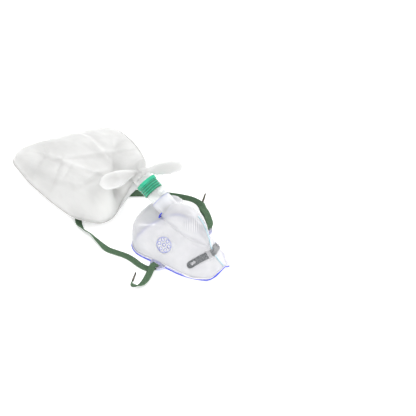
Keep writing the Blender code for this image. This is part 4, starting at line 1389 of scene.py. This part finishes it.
@dataclass(frozen=True)
class HeadStrap:
    """The flat elastic: up through the near ear, round behind the bag and down through the far ear."""

    width: float = 8.5
    thickness: float = 1.1
    step: float = 2.0
    tip_share: float = 0.28
    tip_length: float = 7.0
    corner: float = 0.35
    corner_share: float = 0.4
    sharp: float = 60.0
    ear_x: float = -72.59
    slot_y: float = 42.91
    edge_y: float = 47.16
    under: float = 0.75
    over: float = 4.9

    def route(self) -> list[tuple[float, ...]]:
        """The strap's way from the near tip to the far tip.

        Returns:
            Rows of X, Y, Z and the way that the width points.
        """
        x, slot, edge, low, high = self.ear_x, self.slot_y, self.edge_y, self.under, self.over
        middle = (low + high) / 2
        near = [
            (-73.2, -83.0, low + 2.2, 0.5, 0.3, 0.8),
            (-71.2, -86.6, low + 3.0, 0.3, 0.2, 0.9),
            (-67.0, -88.4, low + 3.8, 0.2, -0.3, 1.0),
            (-62.8, -85.0, low + 3.0, 0.8, 0.0, 0.7),
            (-61.6, -79.0, low + 2.5, 0.95, 0.0, 0.4),
            (-63.4, -70.5, low + 2.2, 1.0, 0.0, 0.1),
            (-67.0, -61.5, low + 2.6, 1.0, 0.1, 0.0),
            (x + 0.3, -edge - 2.6, high + 0.6, 1.0, 0.0, 0.0),
            (x, -edge + 0.6, high + 0.7, 1.0, 0.0, 0.0),
            (x, -slot - 0.2, high - 0.6, 1.0, 0.0, 0.0),
            (x, -slot + 0.2, middle, 1.0, 0.0, 0.0),
            (x, -slot - 0.6, low + 0.3, 1.0, 0.0, 0.0),
            (x - 0.3, -edge - 0.8, low, 1.0, 0.0, 0.0),
        ]
        table = [
            (-77.5, -53.5, low, 0.9, -0.45, 0.0),
            (-87.9, -55.5, low, 0.3, -1.0, 0.0),
            (-100.2, -55.1, low, 0.05, -1.0, 0.0),
            (-110.6, -56.1, low, 0.05, -1.0, 0.0),
            (-122.8, -60.0, low, 0.05, -1.0, 0.0),
            (-135.0, -63.6, low, 0.0, -1.0, 0.0),
            (-149.0, -63.0, low + 1.8, 0.3, -0.85, 0.45),
            (-165.8, -60.8, low + 3.0, 0.5, -0.55, 0.7),
            (-177.5, -61.6, low + 3.0, 0.5, -0.5, 0.7),
            (-190.0, -56.5, low + 1.0, 0.1, -0.9, 0.3),
            (-200.0, -45.5, low, -0.8, -0.5, 0.0),
            (-205.0, -29.0, low, -1.0, -0.1, 0.0),
            (-202.0, -8.0, low, -1.0, 0.15, 0.0),
            (-192.0, 10.0, low, -0.85, 0.5, 0.0),
            (-181.0, 23.0, low + 1.5, -0.6, 0.6, 0.3),
            (-168.0, 34.5, low + 2.9, -0.5, 0.5, 0.6),
            (-148.0, 49.2, low + 3.6, -0.15, 0.2, 1.0),
            (-127.5, 62.4, low + 3.7, 0.0, 0.1, 1.0),
            (-116.0, 67.0, low + 3.6, 0.0, 0.2, 1.0),
            (-105.5, 67.0, low + 2.9, 0.2, 0.7, 0.7),
            (-95.0, 62.0, low + 1.2, 0.5, 0.8, 0.3),
            (-84.0, 54.8, low, 0.7, 0.7, 0.0),
        ]
        far = [
            (x - 1.5, edge + 1.8, low, 0.95, 0.25, 0.0),
            (x, slot + 0.6, low + 0.3, 1.0, 0.0, 0.0),
            (x, slot - 0.2, middle, 1.0, 0.0, 0.0),
            (x, slot + 0.2, high - 0.6, 1.0, 0.0, 0.0),
            (x, edge - 0.6, high + 0.7, 1.0, 0.0, 0.0),
            (x - 1.0, edge + 3.0, high + 0.6, 0.95, 0.2, 0.0),
            (-82.0, 56.5, low + 3.4, 0.75, 0.65, 0.0),
            (-91.5, 62.0, low + 3.2, 0.6, 0.8, 0.0),
            (-99.5, 65.0, low + 3.0, 0.5, 0.85, 0.1),
            (-105.6, 69.0, low + 2.6, 0.6, 0.5, 0.5),
            (-107.6, 72.4, low + 2.2, 0.6, 0.3, 0.7),
        ]
        return near + table + far

    def samples(self) -> list[np.ndarray]:
        """Points along the route on a smooth curve, about a step apart.

        Returns:
            Rows like the route's.
        """
        rows = self.route()
        gaps = [math.dist(row[:3], after[:3]) for row, after in zip(rows, rows[1:])]
        return smooth_line(rows, [max(2, round(gap / self.step)) for gap in gaps])

    def section(self, share: float) -> list[tuple[float, float]]:
        """The band's rounded outline.

        Args:
            share: How wide it is, as a share of the band's width.

        Returns:
            Pairs of across and up, in millimetres.
        """
        half, thick = self.width / 2 * share, self.thickness / 2
        edge = half - min(self.corner, half * self.corner_share)
        top = [(across, thick) for across in (-edge, -half / 2, 0, half / 2, edge)]
        return [(-half, 0), *top, (half, 0), *[(across, -up) for across, up in reversed(top)]]

    def squared(self, rows: Sequence[np.ndarray], k: int) -> tuple[Vector, Vector]:
        """The band's two ways at a point of its route.

        Args:
            rows: The route's points.
            k: The point's number.

        Returns:
            The ways across the band and out of its face, square to the route.
        """
        ahead, behind = rows[min(k + 1, len(rows) - 1)], rows[max(k - 1, 0)]
        along = Vector((ahead - behind)[:3]).normalized()
        out = Vector(rows[k][3:]).normalized().cross(along).normalized()
        return along.cross(out).normalized(), out

    def loft(self, rows: Sequence[np.ndarray]) -> bpy.types.Mesh:
        """Joins a section at each point of the route, with the band's own UV map, and closes the ends.

        Args:
            rows: The route's points.

        Returns:
            The band's mesh.
        """
        bm = bmesh.new()
        layer = bm.loops.layers.uv.new("along")
        last = len(rows) - 1
        run, rings, places = 0.0, [], []
        for k, row in enumerate(rows):
            wide, out = self.squared(rows, k)
            run += math.dist(row[:3], rows[max(k - 1, 0)][:3])
            share = min(1.0, self.tip_share + min(k, last - k) * self.step / self.tip_length)
            outline = self.section(share)
            rings.append([bm.verts.new(TABLE.at(row[:3]) + (wide * a + out * b) * MM) for a, b in outline])
            places.append([(run * MM, across * MM) for across, _ in outline])
        log.info("elastic length %.0f mm", run)
        sides = len(rings[0])
        for k in range(last):
            for j in range(sides):
                corners = ((k, j), (k, (j + 1) % sides), (k + 1, (j + 1) % sides), (k + 1, j))
                face = bm.faces.new([rings[i][m] for i, m in corners])
                for loop, (i, m) in zip(face.loops, corners):
                    loop[layer].uv = places[i][m]
        bm.faces.new(rings[0])
        bm.faces.new(rings[-1][::-1])
        bmesh.ops.recalc_face_normals(bm, faces=bm.faces[:])
        mesh = bpy.data.meshes.new("elastic_band")
        bm.to_mesh(mesh)
        bm.free()
        return mesh

    def build(self) -> None:
        """Lofts the band and dresses it."""
        mesh = self.loft(self.samples())
        mesh.shade_smooth()
        mesh.set_sharp_from_angle(angle=math.radians(self.sharp))
        dress(new_object("elastic_band", mesh), ELASTIC, "head_strap")


def way_to(azimuth: float, elevation: float) -> Vector:
    """The way from the mask to a camera or light.

    Args:
        azimuth: Its side, in degrees from the negative Y axis.
        elevation: Its height above the table, in degrees.

    Returns:
        The way as a unit vector.
    """
    a, e = math.radians(azimuth), math.radians(elevation)
    return Vector((math.sin(a) * math.cos(e), -math.cos(a) * math.cos(e), math.sin(e)))


@dataclass(frozen=True)
class Lamp:
    """A square soft light: where it stands in degrees, its power in watts and its side length in metres."""

    name: str
    azimuth: float
    elevation: float
    watts: float
    size: float


@dataclass(frozen=True)
class Studio:
    """A pale table, soft lights and the camera of the photograph."""

    azimuth: float = 44.3
    elevation: float = 44.5
    pixels_per_mm: float = 0.83
    aim: Place = (-83.78, 57.57, 20.0)
    distance: float = 15000.0
    lamp_distance: float = 1600.0
    table_size: float = 8000.0
    table_drop: float = 0.2
    horizon: float = 0.62
    zenith: float = 1.22
    zenith_height: float = 0.75
    lamps: tuple[Lamp, ...] = (
        Lamp("key_softbox", 215, 50, 8, 1.0),
        Lamp("front_fill", 48, 36, 4.5, 1.6),
        Lamp("sparkle_strip", 300, 62, 3, 0.25),
        Lamp("dome_sparkle", 128, 34, 1.5, 0.2),
        Lamp("side_fill", 105, 30, 5.0, 1.6),
    )

    def look(self, obj: bpy.types.Object, way: Vector, distance: float) -> None:
        """Puts a camera or light so far from the mask and turns it to the mask.

        Args:
            obj: The camera or light.
            way: The way from the mask to it.
            distance: How far it stands away, in millimetres.
        """
        obj.location = TABLE.at(self.aim) + way * distance * MM
        obj.rotation_mode = "QUATERNION"
        obj.rotation_quaternion = (-way).to_track_quat("-Z", "Y")

    def camera(self) -> None:
        """A long lens at the photograph's angle."""
        data = bpy.data.cameras.new("photograph")
        across = PHOTO_WIDTH / self.pixels_per_mm
        data.lens = data.sensor_width * self.distance / across
        data.clip_end = 2 * self.distance * MM
        obj = new_object("photograph", data)
        self.look(obj, way_to(self.azimuth, self.elevation), self.distance)
        bpy.context.scene.camera = obj

    def light(self) -> None:
        """The lamps, each a square soft light that looks at the mask."""
        for lamp in self.lamps:
            data = bpy.data.lights.new(lamp.name, "AREA")
            data.energy = lamp.watts
            data.size = lamp.size
            self.look(new_object(lamp.name, data), way_to(lamp.azimuth, lamp.elevation), self.lamp_distance)

    def sky(self) -> None:
        """A white room that is brighter overhead than at the horizon."""
        world = bpy.data.worlds.new("white_room")
        world.use_nodes = True
        tree = world.node_tree
        place = add_node(tree, "ShaderNodeTexCoord").outputs["Generated"]
        height = add_node(tree, "ShaderNodeSeparateXYZ", {0: place}).outputs["Z"]
        strength = ranged(tree, height, 0.0, self.zenith_height, self.horizon, self.zenith)
        feed(tree, tree.nodes["Background"], {"Strength": strength, "Color": (1.0, 1.0, 1.0, 1.0)})
        bpy.context.scene.world = world

    def table(self) -> None:
        """The table's top, just under the rim."""
        bm = bmesh.new()
        bmesh.ops.create_grid(bm, x_segments=2, y_segments=2, size=self.table_size * MM / 2)
        mesh = bpy.data.meshes.new("table_top")
        bm.to_mesh(mesh)
        bm.free()
        top = new_object("table_top", mesh)
        mesh.transform(Matrix.Translation(Vector((0, 0, -self.table_drop * MM))))
        mesh.materials.append(TABLE_TOP.build())

    def build(self) -> None:
        """Sets up the table, the sky, the lights and the camera."""
        self.table()
        self.sky()
        self.light()
        bpy.context.scene.view_settings.view_transform = "Standard"
        self.camera()


def main() -> None:
    """Builds every piece in order."""
    logging.basicConfig(level=logging.INFO, format="%(name)s: %(message)s")
    Studio().build()
    FacePiece().build()
    for part in SMALL_PARTS:
        part.build()
    ReservoirBag().build()
    HeadStrap().build()


if __name__ == "__main__":
    main()
